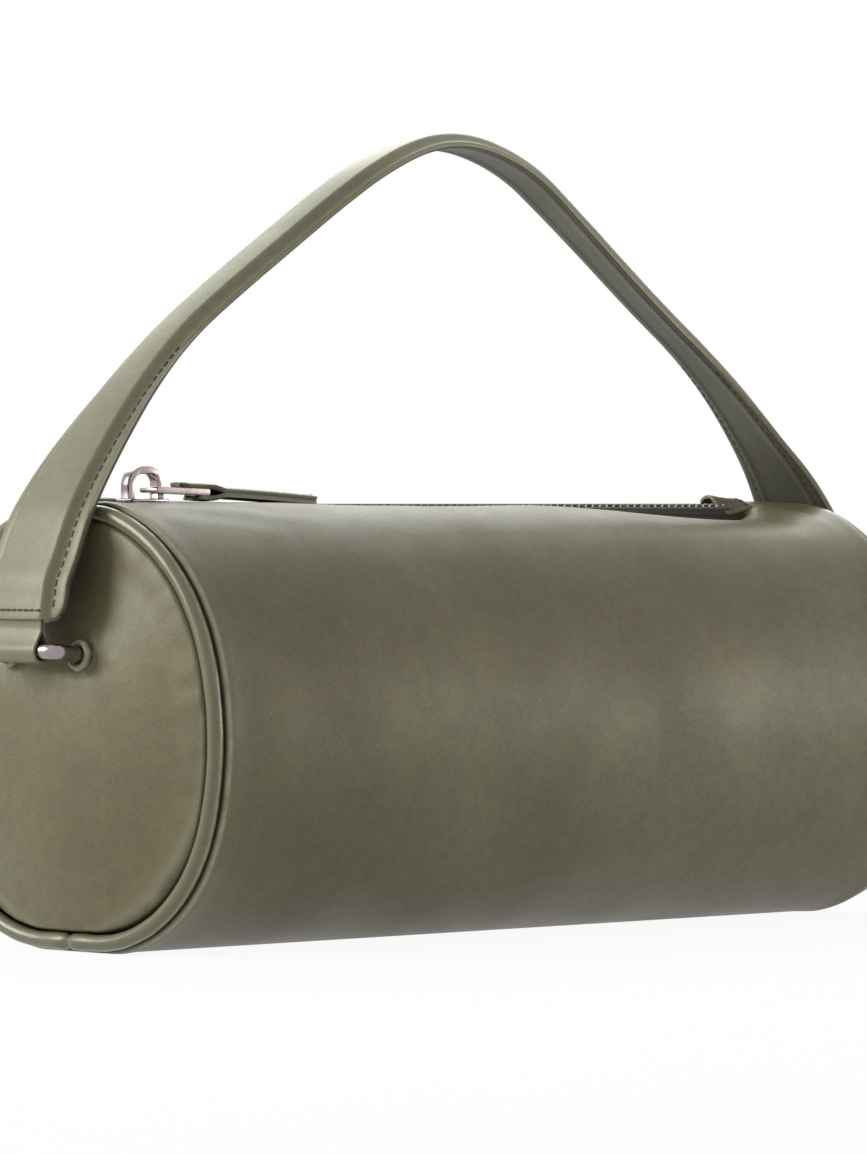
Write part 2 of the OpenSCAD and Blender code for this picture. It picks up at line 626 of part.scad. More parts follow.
module pull_tab_upper() color(leather) at_puller() tab_layer(tab_from);

module pull_tab_lower() color(leather_dark) at_puller() mirror([0, 0, 1]) tab_layer(tab_under_from);

barrel_panel();
barrel_lining();
base_board();
end_panel(-1);  // end_panel_left
end_panel(1);  // end_panel_right
end_board(-1);  // end_board_left
end_board(1);  // end_board_right
end_lining(-1);  // end_lining_left
end_lining(1);  // end_lining_right
piping(-1);  // piping_left
piping(1);  // piping_right
zip_tape(-1);  // zip_tape_front
zip_tape(1);  // zip_tape_back
zip_teeth(-1);  // zip_teeth_front
zip_teeth(1);  // zip_teeth_back
zip_top_stops();
zip_bottom_stop();
zip_end_tab_left();
zip_end_flap_right();
zip_slider();
pull_link();
pull_tab_upper();
pull_tab_lower();
staple(-1);  // staple_left
staple(1);  // staple_right
staple_plate(-1);  // staple_plate_left
staple_plate(1);  // staple_plate_right
staple_screws(-1);  // staple_screws_left
staple_screws(1);  // staple_screws_right
handle_loop(-1);  // handle_loop_left
handle_loop(1);  // handle_loop_right
handle_strap();
handle_core();
handle_lining();
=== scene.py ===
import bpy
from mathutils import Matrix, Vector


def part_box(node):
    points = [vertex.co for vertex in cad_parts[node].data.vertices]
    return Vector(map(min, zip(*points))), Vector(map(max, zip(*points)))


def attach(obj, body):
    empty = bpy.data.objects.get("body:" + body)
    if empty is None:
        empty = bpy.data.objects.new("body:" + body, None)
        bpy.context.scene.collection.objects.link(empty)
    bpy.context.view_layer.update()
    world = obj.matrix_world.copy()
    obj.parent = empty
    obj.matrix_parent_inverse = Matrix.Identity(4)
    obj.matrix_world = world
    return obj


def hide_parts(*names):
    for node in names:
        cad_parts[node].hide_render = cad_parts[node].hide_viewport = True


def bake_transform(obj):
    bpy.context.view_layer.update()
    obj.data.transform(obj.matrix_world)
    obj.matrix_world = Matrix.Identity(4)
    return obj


bl_info = {
    "name": "Barrel bag",
    "version": (1, 0, 0),
    "blender": (4, 5, 0),
    "location": "3D View > Sidebar > Barrel Bag",
    "description": "Dresses the barrel bag's solids in leather, metal and cloth",
    "category": "Add Mesh",
}

import math

import bpy
from mathutils import Matrix, Vector, noise

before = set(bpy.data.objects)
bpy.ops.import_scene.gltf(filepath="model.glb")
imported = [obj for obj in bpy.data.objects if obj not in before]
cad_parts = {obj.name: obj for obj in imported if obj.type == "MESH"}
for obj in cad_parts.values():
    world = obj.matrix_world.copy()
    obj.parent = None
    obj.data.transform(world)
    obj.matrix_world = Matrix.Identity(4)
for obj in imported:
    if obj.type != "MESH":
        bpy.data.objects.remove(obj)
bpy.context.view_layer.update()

# Lengths below are in millimetres, and MM turns them into Blender's metres.
MM = 0.001
LAYER_GAP, PLAY = 0.05, 0.3  # between layers that lie on each other, and pieces that slide
WRAP_BOX = [[c / MM for c in corner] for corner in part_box("barrel_panel")]

# The barrel's outline: tangent arcs, closed by a flat strip above and one below, as in the solids.
# The arcs meet where the outline faces LEVEL outwards and RISE up, or the other way round.
HALF_W, SIDE_R, TOP_R, SHOULDER_R, HAUNCH_R = 65.4, 87.0, 36.0, 61.6, 52.8
LEVEL, RISE = 0.96, 0.28
STEEP = math.atan2(RISE, LEVEL)
SIDE_C = (HALF_W - SIDE_R, RISE * SIDE_R + (1 - RISE) * HAUNCH_R)
SHOULDER_C = (SIDE_C[0] + LEVEL * (SIDE_R - SHOULDER_R), SIDE_C[1] + RISE * (SIDE_R - SHOULDER_R))
TOP_C = (SHOULDER_C[0] - RISE * (TOP_R - SHOULDER_R), SHOULDER_C[1] - LEVEL * (TOP_R - SHOULDER_R))
HAUNCH_C = (SIDE_C[0] + LEVEL * (SIDE_R - HAUNCH_R), HAUNCH_R)
BARREL_H = TOP_C[1] + TOP_R
ARCS = [
    (TOP_C, TOP_R, math.pi / 2, math.pi / 2 - STEEP),
    (SHOULDER_C, SHOULDER_R, math.pi / 2 - STEEP, STEEP),
    (SIDE_C, SIDE_R, STEEP, -STEEP),
    (HAUNCH_C, HAUNCH_R, -STEEP, -math.pi / 2),
]
HALF_ROUND = TOP_C[0] + sum(r * (a - b) for _, r, a, b in ARCS) + HAUNCH_C[0]

# The piping and the domed end, and the opening and chain of the zip
RIM_X, WRAP_END = 150.6, WRAP_BOX[1][0]
PIPING_R, PIPING_INSET = 2.3, 3.1
END_INSET, DOME_INSET, DOME_RISE = 5.5, 5.45, 11.0
RIM_H = BARREL_H / 2 - DOME_INSET
DOME_R = (RIM_H**2 + DOME_RISE**2) / (2 * DOME_RISE)
DOME_X, DOME_Z = RIM_X + DOME_RISE - DOME_R, BARREL_H / 2
MIDDLE = Vector((0, 0, DOME_Z)) * MM
SLOT_FROM, SLOT_TO = -RIM_X + 11.4, RIM_X - 23.0
CHAIN_Z = BARREL_H - 1.6

# The handle's middle line, and the staple bar that it hangs from
BAR_X, BAR_Z, BAR_R = sum(c[0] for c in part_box("handle_loop_right")) / 2 / MM, 87.5, 2.4
BAR_OUT, LEG_Y = 9.9, 15.6  # from the domed end, and from the middle to each staple leg
RISE_L, HEEL_R, FLANK_R, CROWN_R = 16.8, 12.0, 215.0, 73.6
HEEL_TURN, FLANK_TURN = math.radians(28.2), math.radians(55.4)
STRAP_W, GRIP_W, TAPER_L, WIDEST_L = 36.0, 16.4, 108.0, 17.28
STRAP_FROM, NOTCH_L = 9.12, 5.3
OUTER_T, CORE_T, UNDER_T = 1.2, 2.4, 1.1
INNER_N = -(OUTER_T + CORE_T + UNDER_T) / 2 + UNDER_T
OUTER_N = INNER_N + LAYER_GAP + OUTER_T
MARGIN = 2.3  # from the padding's edge to the row of stitches
HEEL_L = HEEL_R * HEEL_TURN
LONG_L = FLANK_R * (FLANK_TURN - HEEL_TURN)
FLANK_X = BAR_X - HEEL_R * (1 - math.cos(HEEL_TURN)) - FLANK_R * (math.cos(HEEL_TURN) - math.cos(FLANK_TURN))
FLANK_L = (FLANK_X - CROWN_R * math.cos(FLANK_TURN)) / math.sin(FLANK_TURN)
CROWN_L = CROWN_R * (math.pi / 2 - FLANK_TURN)
HALF_STRAP = RISE_L + HEEL_L + LONG_L + FLANK_L + CROWN_L


def srgb(r, g, b):
    """A colour read as 0 to 255, in the linear values that shaders take."""
    shares = (r / 255, g / 255, b / 255)
    return tuple(v / 12.92 if v <= 0.04045 else ((v + 0.055) / 1.055) ** 2.4 for v in shares)


def times(colour, share):
    """A colour made lighter or darker."""
    return tuple(c * share for c in colour)


def end_of(side):
    """The name of an end: side is -1 at the zip's closed end and 1 at the other."""
    return "left" if side < 0 else "right"


def steps(low, high, size):
    """Even places from low to high, no further apart than size."""
    n = max(1, math.ceil((high - low) / size))
    return [low + (high - low) * k / n for k in range(n + 1)]


def ease(t):
    """0 to 1, with a soft start and end."""
    t = min(1.0, max(0.0, t))
    return t * t * (3 - 2 * t)


def hill(away, size):
    """A smooth hill: 1 at its top, and about a third at size away from it."""
    return math.exp(-((away / size) ** 2))


def rumple(x, y, z, size, seed=0.0):
    """Smooth hills and hollows about size across, from -1 to 1."""
    return noise.noise(Vector((x / size + seed, y / size - seed, z / size + 2 * seed)))


def outline(s, inset=0.0):
    """Point (y, z) and outward direction of the barrel's outline, s round from the top middle."""
    side, s = (1 if s >= 0 else -1), abs(s)
    if s <= TOP_C[0]:
        return side * s, BARREL_H - inset, 0.0, 1.0
    s -= TOP_C[0]
    for (cy, cz), r, a, b in ARCS:
        length = r * (a - b)
        if s <= length:
            turn = a - s / r
            ny, nz = math.cos(turn), math.sin(turn)
            return side * (cy + (r - inset) * ny), cz + (r - inset) * nz, side * ny, nz
        s -= length
    return side * max(0.0, HAUNCH_C[0] - s), inset, 0.0, -1.0


# The strap's middle line above its heels, as (radius, lean from upright at its start, length)
RUNS = (
    (HEEL_R, 0.0, HEEL_L), (FLANK_R, HEEL_TURN, LONG_L), (None, FLANK_TURN, FLANK_L), (CROWN_R, FLANK_TURN, CROWN_L),
)


def strap_line(s):
    """Place (x, z) and lean of the strap's middle on the right half, s along it from the bar."""
    x, z, lean = BAR_X, BAR_Z + min(s, RISE_L), 0.0
    s -= RISE_L
    for r, start, length in RUNS:
        if s <= 0:
            break
        here = min(s, length)
        if r:
            lean = start + here / r
            x, z = x + r * (math.cos(lean) - math.cos(start)), z + r * (math.sin(lean) - math.sin(start))
        else:
            x, z = x - here * math.sin(start), z + here * math.cos(start)
        s -= length
    return x, z, lean


# How the soft strap hangs off its drawn line, in mm outwards on the left (-1) and the right (1): drawn
# in at the heel, clear of the piping above it, bowed half way up and hollow beside the crown, which
# stands a little higher. TWIST is the turn of each side about its own length.
HEEL_IN = {-1: -1.8, 1: -1.0}
CLEAR = {-1: 0.3, 1: 1.0}
BOW = {-1: 1.5, 1: -1.8}
HOLLOW = {-1: -1.2, 1: 0.0}
CROWN_UP = 0.6
TWIST = {-1: math.radians(-2.6), 1: math.radians(7.6)}


def strap_give(side, t):
    """How far the strap stands off its drawn line, t from 0 at the heel to 1 at the crown."""
    heel = HEEL_IN[side] * (1 - ease((t - 0.03) / 0.1)) + CLEAR[side] * hill(t - 0.17, 0.07)
    crown = HOLLOW[side] * hill(t - 0.85, 0.08) + CROWN_UP * hill(t - 1, 0.08)
    return heel + BOW[side] * hill(t - 0.5, 0.2) + crown


def strap_point(side, s, y, n, tip):
    """A point of the strap: s along it, y across it, n above its middle; tip shifts the crown."""
    x, z, a = strap_line(s)
    t = min(1.0, max(0.0, (s - RISE_L) / (HALF_STRAP - RISE_L)))
    shift = tip * ease(t)
    turn = TWIST[side] * ease(t / 0.3) * (1 - ease((t - 0.6) / 0.4))
    cos, sin = math.cos(turn), math.sin(turn) * side
    n, y = n * cos + y * sin, y * cos - n * sin
    n += strap_give(side, t) * min(1.0, s / RISE_L) ** 2
    return side * (x + n * math.cos(a)) + shift, y, z + n * math.sin(a)


def taper(s):
    """Full width of the strap at s."""
    share = min(1.0, max(0.0, (s - WIDEST_L) / TAPER_L))
    return STRAP_W + (GRIP_W - STRAP_W) * (1 - math.cos(math.pi * share)) / 2


def pad_half(s):
    """Half width of the strap's raised middle."""
    return taper(s) * 0.32


def strap_half(s):
    """Half width of the strap, cut away in a curve at its lower end."""
    inner = pad_half(s) + 0.35
    from_tip = 1 - (s - STRAP_FROM) / NOTCH_L
    share = math.sqrt(max(0.0, 1 - from_tip**2)) if from_tip > 0 else 1.0
    return inner + (taper(s) / 2 - inner) * share


# Handling of objects

def pick(*objs):
    """Select these objects alone, the first one active, in object mode."""
    if bpy.context.object is not None and bpy.context.object.mode != "OBJECT":
        bpy.ops.object.mode_set(mode="OBJECT")
    bpy.ops.object.select_all(action="DESELECT")
    for obj in objs:
        obj.select_set(True)
    if objs:
        bpy.context.view_layer.objects.active = objs[0]


def edit(obj, *moves):
    """Run edit-mode moves on the whole of obj."""
    pick(obj)
    bpy.ops.object.mode_set(mode="EDIT")
    bpy.ops.mesh.select_all(action="SELECT")
    for move in moves:
        move()
    bpy.ops.object.mode_set(mode="OBJECT")


def merge():
    """Close seams and poles."""
    bpy.ops.mesh.remove_doubles(threshold=0.00001)


def face_out():
    """Turn all faces outwards."""
    bpy.ops.mesh.normals_make_consistent(inside=False)


def modify(obj, kind, **settings):
    """Add a modifier and apply it."""
    pick(obj)
    modifier = obj.modifiers.new(kind.title(), kind)
    for key, value in settings.items():
        setattr(modifier, key, value)
    bpy.ops.object.modifier_apply(modifier=modifier.name)


def smooth(obj, degrees=40):
    """Smooth shading, with sharp edges kept."""
    pick(obj)
    bpy.ops.object.shade_smooth_by_angle(angle=math.radians(degrees))


def laid_sheet(name, us, vs, place, drop=None, closed=False):
    """A sheet with a row of vertices for each entry of us and vs, laid where place(u, v) says in mm.
    Faces whose middle (u, v) is in drop are cut out. A closed sheet is merged and faces outwards."""
    pick()
    bpy.ops.mesh.primitive_grid_add(
        x_subdivisions=len(us) - 1, y_subdivisions=len(vs) - 1, size=2, location=(0, 0, 0)
    )
    obj = bpy.context.active_object
    obj.name = obj.data.name = name
    mesh = obj.data
    spots = []
    for v in mesh.vertices:
        i = round((v.co.x + 1) / 2 * (len(us) - 1))
        j = round((v.co.y + 1) / 2 * (len(vs) - 1))
        spots.append((i, j))
    for v, (i, j) in zip(mesh.vertices, spots):
        v.co = Vector(place(us[i], vs[j])) * MM
    run = [0.0]
    for a, b in zip(us, us[1:]):
        run.append(run[-1] + (abs(b - a) if isinstance(a, (int, float)) else math.dist(a, b)))
    uv = mesh.uv_layers.active.data
    for loop in mesh.loops:
        i, j = spots[loop.vertex_index]
        uv[loop.index].uv = (run[i] * MM, vs[j] * MM)
    if drop:
        bpy.ops.object.mode_set(mode="EDIT")
        bpy.ops.mesh.select_all(action="DESELECT")
        bpy.ops.mesh.select_mode(type="FACE")
        bpy.ops.object.mode_set(mode="OBJECT")
        for face in mesh.polygons:
            ij = [spots[k] for k in face.vertices]
            u = sum(us[i] if isinstance(us[i], (int, float)) else us[i][0] for i, _ in ij) / len(ij)
            v = sum(vs[j] for _, j in ij) / len(ij)
            face.select = drop(u, v)
        bpy.ops.object.mode_set(mode="EDIT")
        bpy.ops.mesh.delete(type="FACE")
        bpy.ops.mesh.select_mode(type="VERT")
        bpy.ops.object.mode_set(mode="OBJECT")
    edit(obj, merge)
    if closed:
        edit(obj, face_out)
    return obj


def flip(obj):
    """Turn a sheet's faces to the other side."""
    edit(obj, bpy.ops.mesh.flip_normals)


def face_to(obj, way, face=None):
    """Turn a sheet over unless its face, the first if none is given, looks along way."""
    face = face or obj.data.polygons[0]
    if face.normal.dot(Vector(way)) < 0:
        flip(obj)


def biggest_face(obj):
    """The face with the largest area."""
    return max(obj.data.polygons, key=lambda f: f.area)


def round_edges(obj, width, segments, degrees):
    """Bevel the edges that turn by more than degrees."""
    limit = math.radians(degrees)
    modify(obj, "BEVEL", width=width * MM, segments=segments, limit_method="ANGLE", angle_limit=limit)


def thicken(obj, thickness, soft=0.3, rim=0, back=0):
    """Give a sheet its thickness below its outer side, with softened edges. rim and back count up to
    the material of its edge and of its inner side."""
    modify(
        obj, "SOLIDIFY", thickness=thickness * MM, offset=-1.0, use_even_offset=True,
        material_offset=back, material_offset_rim=rim,
    )
    if soft:
        round_edges(obj, soft, 2, 50)


def settle(obj, body, slot, materials, *nodes):
    """Give a finished piece its materials and its body, and hide the solids that it stands for. A piece that bends
    between two bodies has none here."""
    obj.data.materials.clear()
    for material in materials:
        obj.data.materials.append(MATERIALS[material])
    if body:
        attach(obj, body)
    if nodes:
        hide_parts(*nodes)


def sew(name, seats, length, width, body):
    """Rows of thread stitches: each seat is (middle, along, outward) in mm."""
    pick()
    bpy.ops.mesh.primitive_cylinder_add(
        vertices=6, radius=0.5 * MM, depth=1.0 * MM, location=(0, 0, 0), rotation=(0, math.pi / 2, 0)
    )
    one = bpy.context.active_object
    bpy.ops.object.transform_apply(location=False, rotation=True, scale=False)
    bpy.ops.object.mode_set(mode="EDIT")
    bpy.ops.mesh.select_all(action="DESELECT")
    bpy.ops.mesh.select_mode(type="FACE")
    bpy.ops.object.mode_set(mode="OBJECT")
    for face in one.data.polygons:
        face.select = abs(face.normal.x) > 0.9
    bpy.ops.object.mode_set(mode="EDIT")
    bpy.ops.mesh.inset(thickness=0.18 * MM)
    bulge = 1.22
    bpy.ops.transform.resize(value=(bulge, 1, 1))
    bpy.ops.mesh.select_all(action="SELECT")
    bpy.ops.transform.resize(value=(length / bulge, width, width * 0.85))
    bpy.ops.object.mode_set(mode="OBJECT")
    rows = []
    for middle, along, outward in seats:
        x, z = Vector(along).normalized(), Vector(outward).normalized()
        y = z.cross(x).normalized()
        turn = Matrix((x, y, x.cross(y))).transposed().to_4x4()
        stitch = bpy.data.objects.new(name, one.data.copy())
        stitch.data.transform(Matrix.Translation(Vector(middle) * MM) @ turn)
        bpy.context.scene.collection.objects.link(stitch)
        rows.append(stitch)
    bpy.data.objects.remove(one)
    pick(*rows)
    bpy.ops.object.join()
    obj = bpy.context.active_object
    obj.name = obj.data.name = name
    smooth(obj, 80)
    settle(obj, body, "trim_leather", ["thread"])


def metal_piece(node, name, body, material, soft=0.0, segments=2, degrees=30, slot="nickel"):
    """A copy of a solid with its edges eased, as tumbled and polished metal has them."""
    obj = bpy.data.objects.new(name, bpy.data.objects[node].data.copy())
    bpy.context.scene.collection.objects.link(obj)
    obj.data.materials.clear()
    edit(obj, merge, lambda: bpy.ops.mesh.dissolve_limited(angle_limit=math.radians(0.5)), face_out)
    if soft:
        round_edges(obj, soft, segments, 28)
    smooth(obj, degrees)
    settle(obj, body, slot, [material], node)


def leather_piece(obj, thick, soft, degrees, body, materials, node, slot="trim_leather", **marks):
    """Turn a sheet into a piece of leather. The materials are those of its face, its edge and, if it
    has one of its own, its back."""
    thicken(obj, thick, soft, rim=1, back=2 if len(materials) > 2 else 0)
    for name, value in marks.items():
        mark(obj, name, value)
    smooth(obj, degrees)
    settle(obj, body, slot, materials, node)


def sheet_area(obj):
    """Area of a sheet before it has a thickness, in square metres."""
    return sum(face.area for face in obj.data.polygons)


def mark(obj, name, value):
    """Store value(point in mm) on the vertices of obj as an attribute that its material reads."""
    attribute = obj.data.attributes.get(name) or obj.data.attributes.new(name, "FLOAT", "POINT")
    attribute.data.foreach_set("value", [float(value(v.co / MM)) for v in obj.data.vertices])


# Materials

class Wire:
    """A socket whose sums and products add Math nodes."""

    def __init__(self, recipe, socket):
        self.recipe, self.socket = recipe, socket

    def _math(self, operation, a, b):
        return self.recipe.node("ShaderNodeMath", {"operation": operation}, {0: a, 1: b})

    def __add__(self, other):
        return self._math("ADD", self, other)

    def __radd__(self, other):
        return self._math("ADD", other, self)

    def __sub__(self, other):
        return self._math("SUBTRACT", self, other)

    def __rsub__(self, other):
        return self._math("SUBTRACT", other, self)

    def __mul__(self, other):
        return self._math("MULTIPLY", self, other)

    def __rmul__(self, other):
        return self._math("MULTIPLY", other, self)

    def highest(self, other):
        return self._math("MAXIMUM", self, other)


class Recipe:
    """One material, built node by node."""

    def __init__(self, name, owner=None):
        self.material = owner or bpy.data.materials.new(name)
        self.material.use_nodes = True
        self.tree = self.material.node_tree
        self.tree.nodes.clear()

    def node(self, kind, settings=None, inputs=None, output=0):
        made = self.tree.nodes.new(kind)
        for key, value in (settings or {}).items():
            setattr(made, key, value)
        for key, value in (inputs or {}).items():
            socket = made.inputs[key]
            if isinstance(value, Wire):
                self.tree.links.new(value.socket, socket)
            else:
                socket.default_value = value
        return Wire(self, made.outputs[output]) if made.outputs else made

    def coords(self, which="Object"):
        return self.node("ShaderNodeTexCoord", output=which)

    def noise(self, where, scale, detail=3.0, rough=0.5):
        inputs = {"Vector": where, "Scale": scale, "Detail": detail, "Roughness": rough}
        return self.node("ShaderNodeTexNoise", None, inputs)

    def blend(self, share, a, b):
        mixed = self.node("ShaderNodeMix", {"data_type": "RGBA"}, {"Factor": share}, "Result")
        made = mixed.socket.node
        for socket, value in ((made.inputs[6], a), (made.inputs[7], b)):
            if isinstance(value, Wire):
                self.tree.links.new(value.socket, socket)
            else:
                socket.default_value = (*value, 1.0)
        return Wire(self, made.outputs[2])

    def spread(self, value, low, high, out_low=0.0, out_high=1.0):
        inputs = {"Value": value, "From Min": low, "From Max": high, "To Min": out_low, "To Max": out_high}
        return self.node("ShaderNodeMapRange", {"clamp": True}, inputs)

    def bump(self, height, strength, distance, under=None):
        inputs = {"Strength": strength, "Distance": distance * MM, "Height": height}
        if under is not None:
            inputs["Normal"] = under
        return self.node("ShaderNodeBump", None, inputs)

    def surface(self, **inputs):
        """The finished material: underscores in input names stand for spaces."""
        named = {key.replace("_", " "): value for key, value in inputs.items()}
        shader = self.node("ShaderNodeBsdfPrincipled", None, named)
        self.node("ShaderNodeOutputMaterial", None, {"Surface": shader})
        return self.material


def leather(name, colour, shade, sheen, roughness=0.44, grain=0.55, depth=0.1, coat=0.08, metal=0.12):
    """Fine-grained, softly lustrous leather. The piece's marks say where it is painted paler, partly as rubbed wear
    and partly as painted highlight, and where it is painted darker, as painted shade in grooves between parts and on
    shaded undersides."""
    r = Recipe(name)
    where = r.coords()
    cloud = r.noise(where, 26.0, 4.0, 0.55)
    patch = r.noise(where, 8.0, 2.0, 0.5)
    pebble = {"Vector": where, "Scale": 1000.0 / grain, "Smoothness": 0.35}
    cells = r.node("ShaderNodeTexVoronoi", {"feature": "SMOOTH_F1"}, pebble, "Distance")
    pores = r.noise(where, 1300.0 / grain, 2.0, 0.6)
    crease = r.noise(where, 240.0, 5.0, 0.65)
    worn = r.node("ShaderNodeAttribute", {"attribute_name": "worn"}, None, "Fac")
    seam = r.node("ShaderNodeAttribute", {"attribute_name": "seam"}, None, "Fac")
    dye = r.blend(r.spread(cloud, 0.3, 0.72), shade, colour)
    dye = r.blend(r.spread(patch, 0.5, 0.8) * 0.22, dye, sheen)
    dye = r.blend(r.spread(crease, 0.4, 0.6, 0.0, 0.3), dye, times(shade, 0.72))
    dye = r.blend(r.spread(pores, 0.5, 0.72, 0.0, 0.2), dye, sheen)
    dye = r.blend(r.spread(cells, 0.0, 0.45, 0.25, 0.0), dye, times(shade, 0.5))
    # paler mark: partly rubbed wear, partly painted highlight; it blends the dye towards the pale colour and adds
    # gloss
    dye = r.blend(worn * r.spread(crease, 0.32, 0.6, 0.5, 1.0), dye, sheen)
    # painted shade: the darker mark takes the dye nearly to black in grooves between parts and on shaded undersides
    dye = r.blend(seam * 0.92, dye, times(shade, 0.12))
    rough = r.spread(cloud, 0.3, 0.7, roughness + 0.05, roughness - 0.04) + r.spread(pores, 0.35, 0.7, 0.06, -0.03)
    rough = rough - worn * 0.1 + seam * 0.3
    normal = r.bump(crease, 0.22, depth * 2.2)
    normal = r.bump(cells * 0.7 + pores * 0.35, 0.5, depth, normal)
    return r.surface(
        Base_Color=dye, Metallic=metal * (1 - seam), Roughness=rough, Specular_IOR_Level=0.36,
        Coat_Weight=coat + worn * 0.2, Coat_Roughness=0.22, Normal=normal,
    )


def painted_edge(name, colour, coat=0.3):
    """Edge paint: thick, smooth and a little wavy."""
    r = Recipe(name)
    where = r.coords()
    wave = r.noise(where, 420.0, 3.0, 0.5)
    dye = r.blend(r.spread(wave, 0.35, 0.65), times(colour, 0.8), colour)
    rough = r.spread(wave, 0.3, 0.7, 0.26, 0.38)
    return r.surface(
        Base_Color=dye, Roughness=rough, Specular_IOR_Level=0.4, Coat_Weight=coat, Coat_Roughness=0.2,
        Normal=r.bump(wave, 0.3, 0.15),
    )


def polished(name, colour, roughness, scratch=0.25):
    """Plated metal with fine handling marks."""
    r = Recipe(name)
    where = r.coords()
    smear = r.noise(where, 160.0, 4.0, 0.6)
    marks = r.noise(where, 2400.0, 2.0, 0.7)
    dye = r.blend(r.spread(smear, 0.35, 0.7), times(colour, 0.82), colour)
    rough = r.spread(smear, 0.3, 0.7, roughness * 0.7, roughness * 1.5) + r.spread(marks, 0.5, 0.8, 0.0, 0.08)
    return r.surface(Base_Color=dye, Metallic=1.0, Roughness=rough, Normal=r.bump(marks, scratch, 0.02))


def woven(name, colour, shade, pitch, roughness=0.8):
    """Plain-woven cloth on the piece's own map, with threads pitch mm apart."""
    r = Recipe(name)
    where = r.coords("UV")
    split = r.node("ShaderNodeSeparateXYZ", None, {0: where}).socket.node.outputs
    per_thread = math.pi / (pitch * MM)
    warp = r.node("ShaderNodeMath", {"operation": "SINE"}, {0: Wire(r, split[0]) * per_thread})
    weft = r.node("ShaderNodeMath", {"operation": "SINE"}, {0: Wire(r, split[1]) * per_thread})
    over = r.node("ShaderNodeMath", {"operation": "ABSOLUTE"}, {0: warp * weft})
    fuzz = r.noise(r.coords(), 1800.0, 3.0, 0.6)
    dye = r.blend(r.spread(over + fuzz * 0.5, 0.2, 0.9), shade, colour)
    rough = r.spread(fuzz, 0.3, 0.7, roughness - 0.06, roughness + 0.08)
    normal = r.bump(over + fuzz * 0.3, 0.7, 0.12)
    return r.surface(Base_Color=dye, Roughness=rough, Sheen_Weight=0.25, Specular_IOR_Level=0.2, Normal=normal)


def thread(name, colour):
    """Twisted waxed thread."""
    r = Recipe(name)
    bands = {"wave_type": "BANDS", "bands_direction": "DIAGONAL"}
    twist = r.node("ShaderNodeTexWave", bands, {"Vector": r.coords(), "Scale": 900.0, "Distortion": 1.5}, "Fac")
    dye = r.blend(twist, times(colour, 0.6), colour)
    rough = r.spread(twist, 0.0, 1.0, 0.55, 0.7)
    return r.surface(Base_Color=dye, Roughness=rough, Normal=r.bump(twist, 0.6, 0.08))


def pressed_board(name, colour):
    """Pressed fibre board."""
    r = Recipe(name)
    fibre = r.noise(r.coords(), 900.0, 4.0, 0.7)
    dye = r.blend(r.spread(fibre, 0.3, 0.7), times(colour, 0.7), colour)
    rough = r.spread(fibre, 0.3, 0.7, 0.75, 0.9)
    return r.surface(Base_Color=dye, Roughness=rough, Normal=r.bump(fibre, 0.5, 0.1))


MATERIALS = {}


def make_materials(look):
    """Every finish of the bag, from the colours in the panel."""
    base, pale, dark, trim, back = (
        tuple(c) for c in (look.leather, look.leather_light, look.leather_dark, look.trim, look.leather_back)
    )
    # The lining leather is half as light as the strap's: partly its own darker leather, partly painted shade on the
    # strap's shaded underside.
    under = times(trim, 0.5)
    MATERIALS.update(
        wrap=leather("wrap leather", base, dark, pale, roughness=0.48),
        end=leather("end leather", times(base, 1.06), times(dark, 1.08), pale, roughness=0.46),
        piping=leather("piping leather", times(base, 0.94), dark, pale, roughness=0.32, depth=0.07, coat=0.3),
        strap=leather("strap leather", trim, times(trim, 0.84), pale, roughness=0.4, depth=0.08),
        under=leather("strap lining leather", under, times(trim, 0.38), times(trim, 0.7), roughness=0.5, metal=0.0),
        raw=leather("pale leather back", back, times(back, 0.8), pale, roughness=0.75, coat=0.0, metal=0.0),
        # The strap's edge paint is pale: partly the paint's own colour, partly painted highlight along the thin edges.
        edge=painted_edge("edge paint", tuple(look.edge)),
        # The tab's edge paint is nearly black: dark edge paint, darkened further as painted shade along the tab's
        # lower edge.
        tab_edge=painted_edge("dark edge paint and painted shade", times(trim, 0.09), 0.0),
        thread=thread("thread", tuple(look.thread)),
        nickel=polished("polished nickel", tuple(look.metal), 0.2),
        teeth=polished("zip tooth metal", times(look.metal, 0.45), 0.28),
        steel=polished("plain steel", (0.42, 0.42, 0.43), 0.35, 0.5),
        tape=woven("zip tape cloth", srgb(62, 59, 46), srgb(36, 34, 26), 0.55),
        lining=woven("lining cloth", srgb(92, 88, 74), srgb(66, 62, 52), 0.35),
        board=pressed_board("fibre board", srgb(176, 158, 128)),
        padding=pressed_board("handle padding", srgb(140, 136, 124)),
    )


# Pieces

LIP = 7.0  # from the zip's middle to the cut edge of the wrap
SAGS_TO = 70.0  # how far round from the top middle the lining follows the lip
LINING_X = 138.9  # half the length of the barrel's lining

# The wrap's folded hem, as (from its end, how deep it lies)
HEM = [
    (0.0, 2.9), (-0.1, 2.2), (-0.12, 1.5), (-0.06, 0.85), (0.12, 0.35), (0.42, 0.02), (0.9, -0.22), (1.6, -0.36),
    (2.6, -0.36), (4.2, -0.24), (6.2, -0.08), (8.6, 0.02),
]


def mirrored(half):
    """Places on both sides of a middle, from those on one side that start at 0."""
    return [-v for v in reversed(half[1:])] + half


def lip_sag(x, s):
    """How far the soft front lip of the zip opening hangs down, in mm."""
    both = 0.6 * ease((x + 95.0) / 60.0) * hill(s, 22.0) * ease((WRAP_END - x) / 22.0)
    if s > 0:
        return both
    deep = 0.5 * ease((x + 60.0) / 80.0) + 5.2 * ease((x - 20.0) / 98.0)
    deep *= ease((SLOT_TO + 8.0 - x) / 16.0)
    hollow = 1.7 * hill(x - 139.0, 8.0) * hill(s + 15.0, 10.0)
    return both + deep * (1 - ease((-s - 8.0) / 34.0)) * ease((-s - 2.0) / 4.0) + hollow


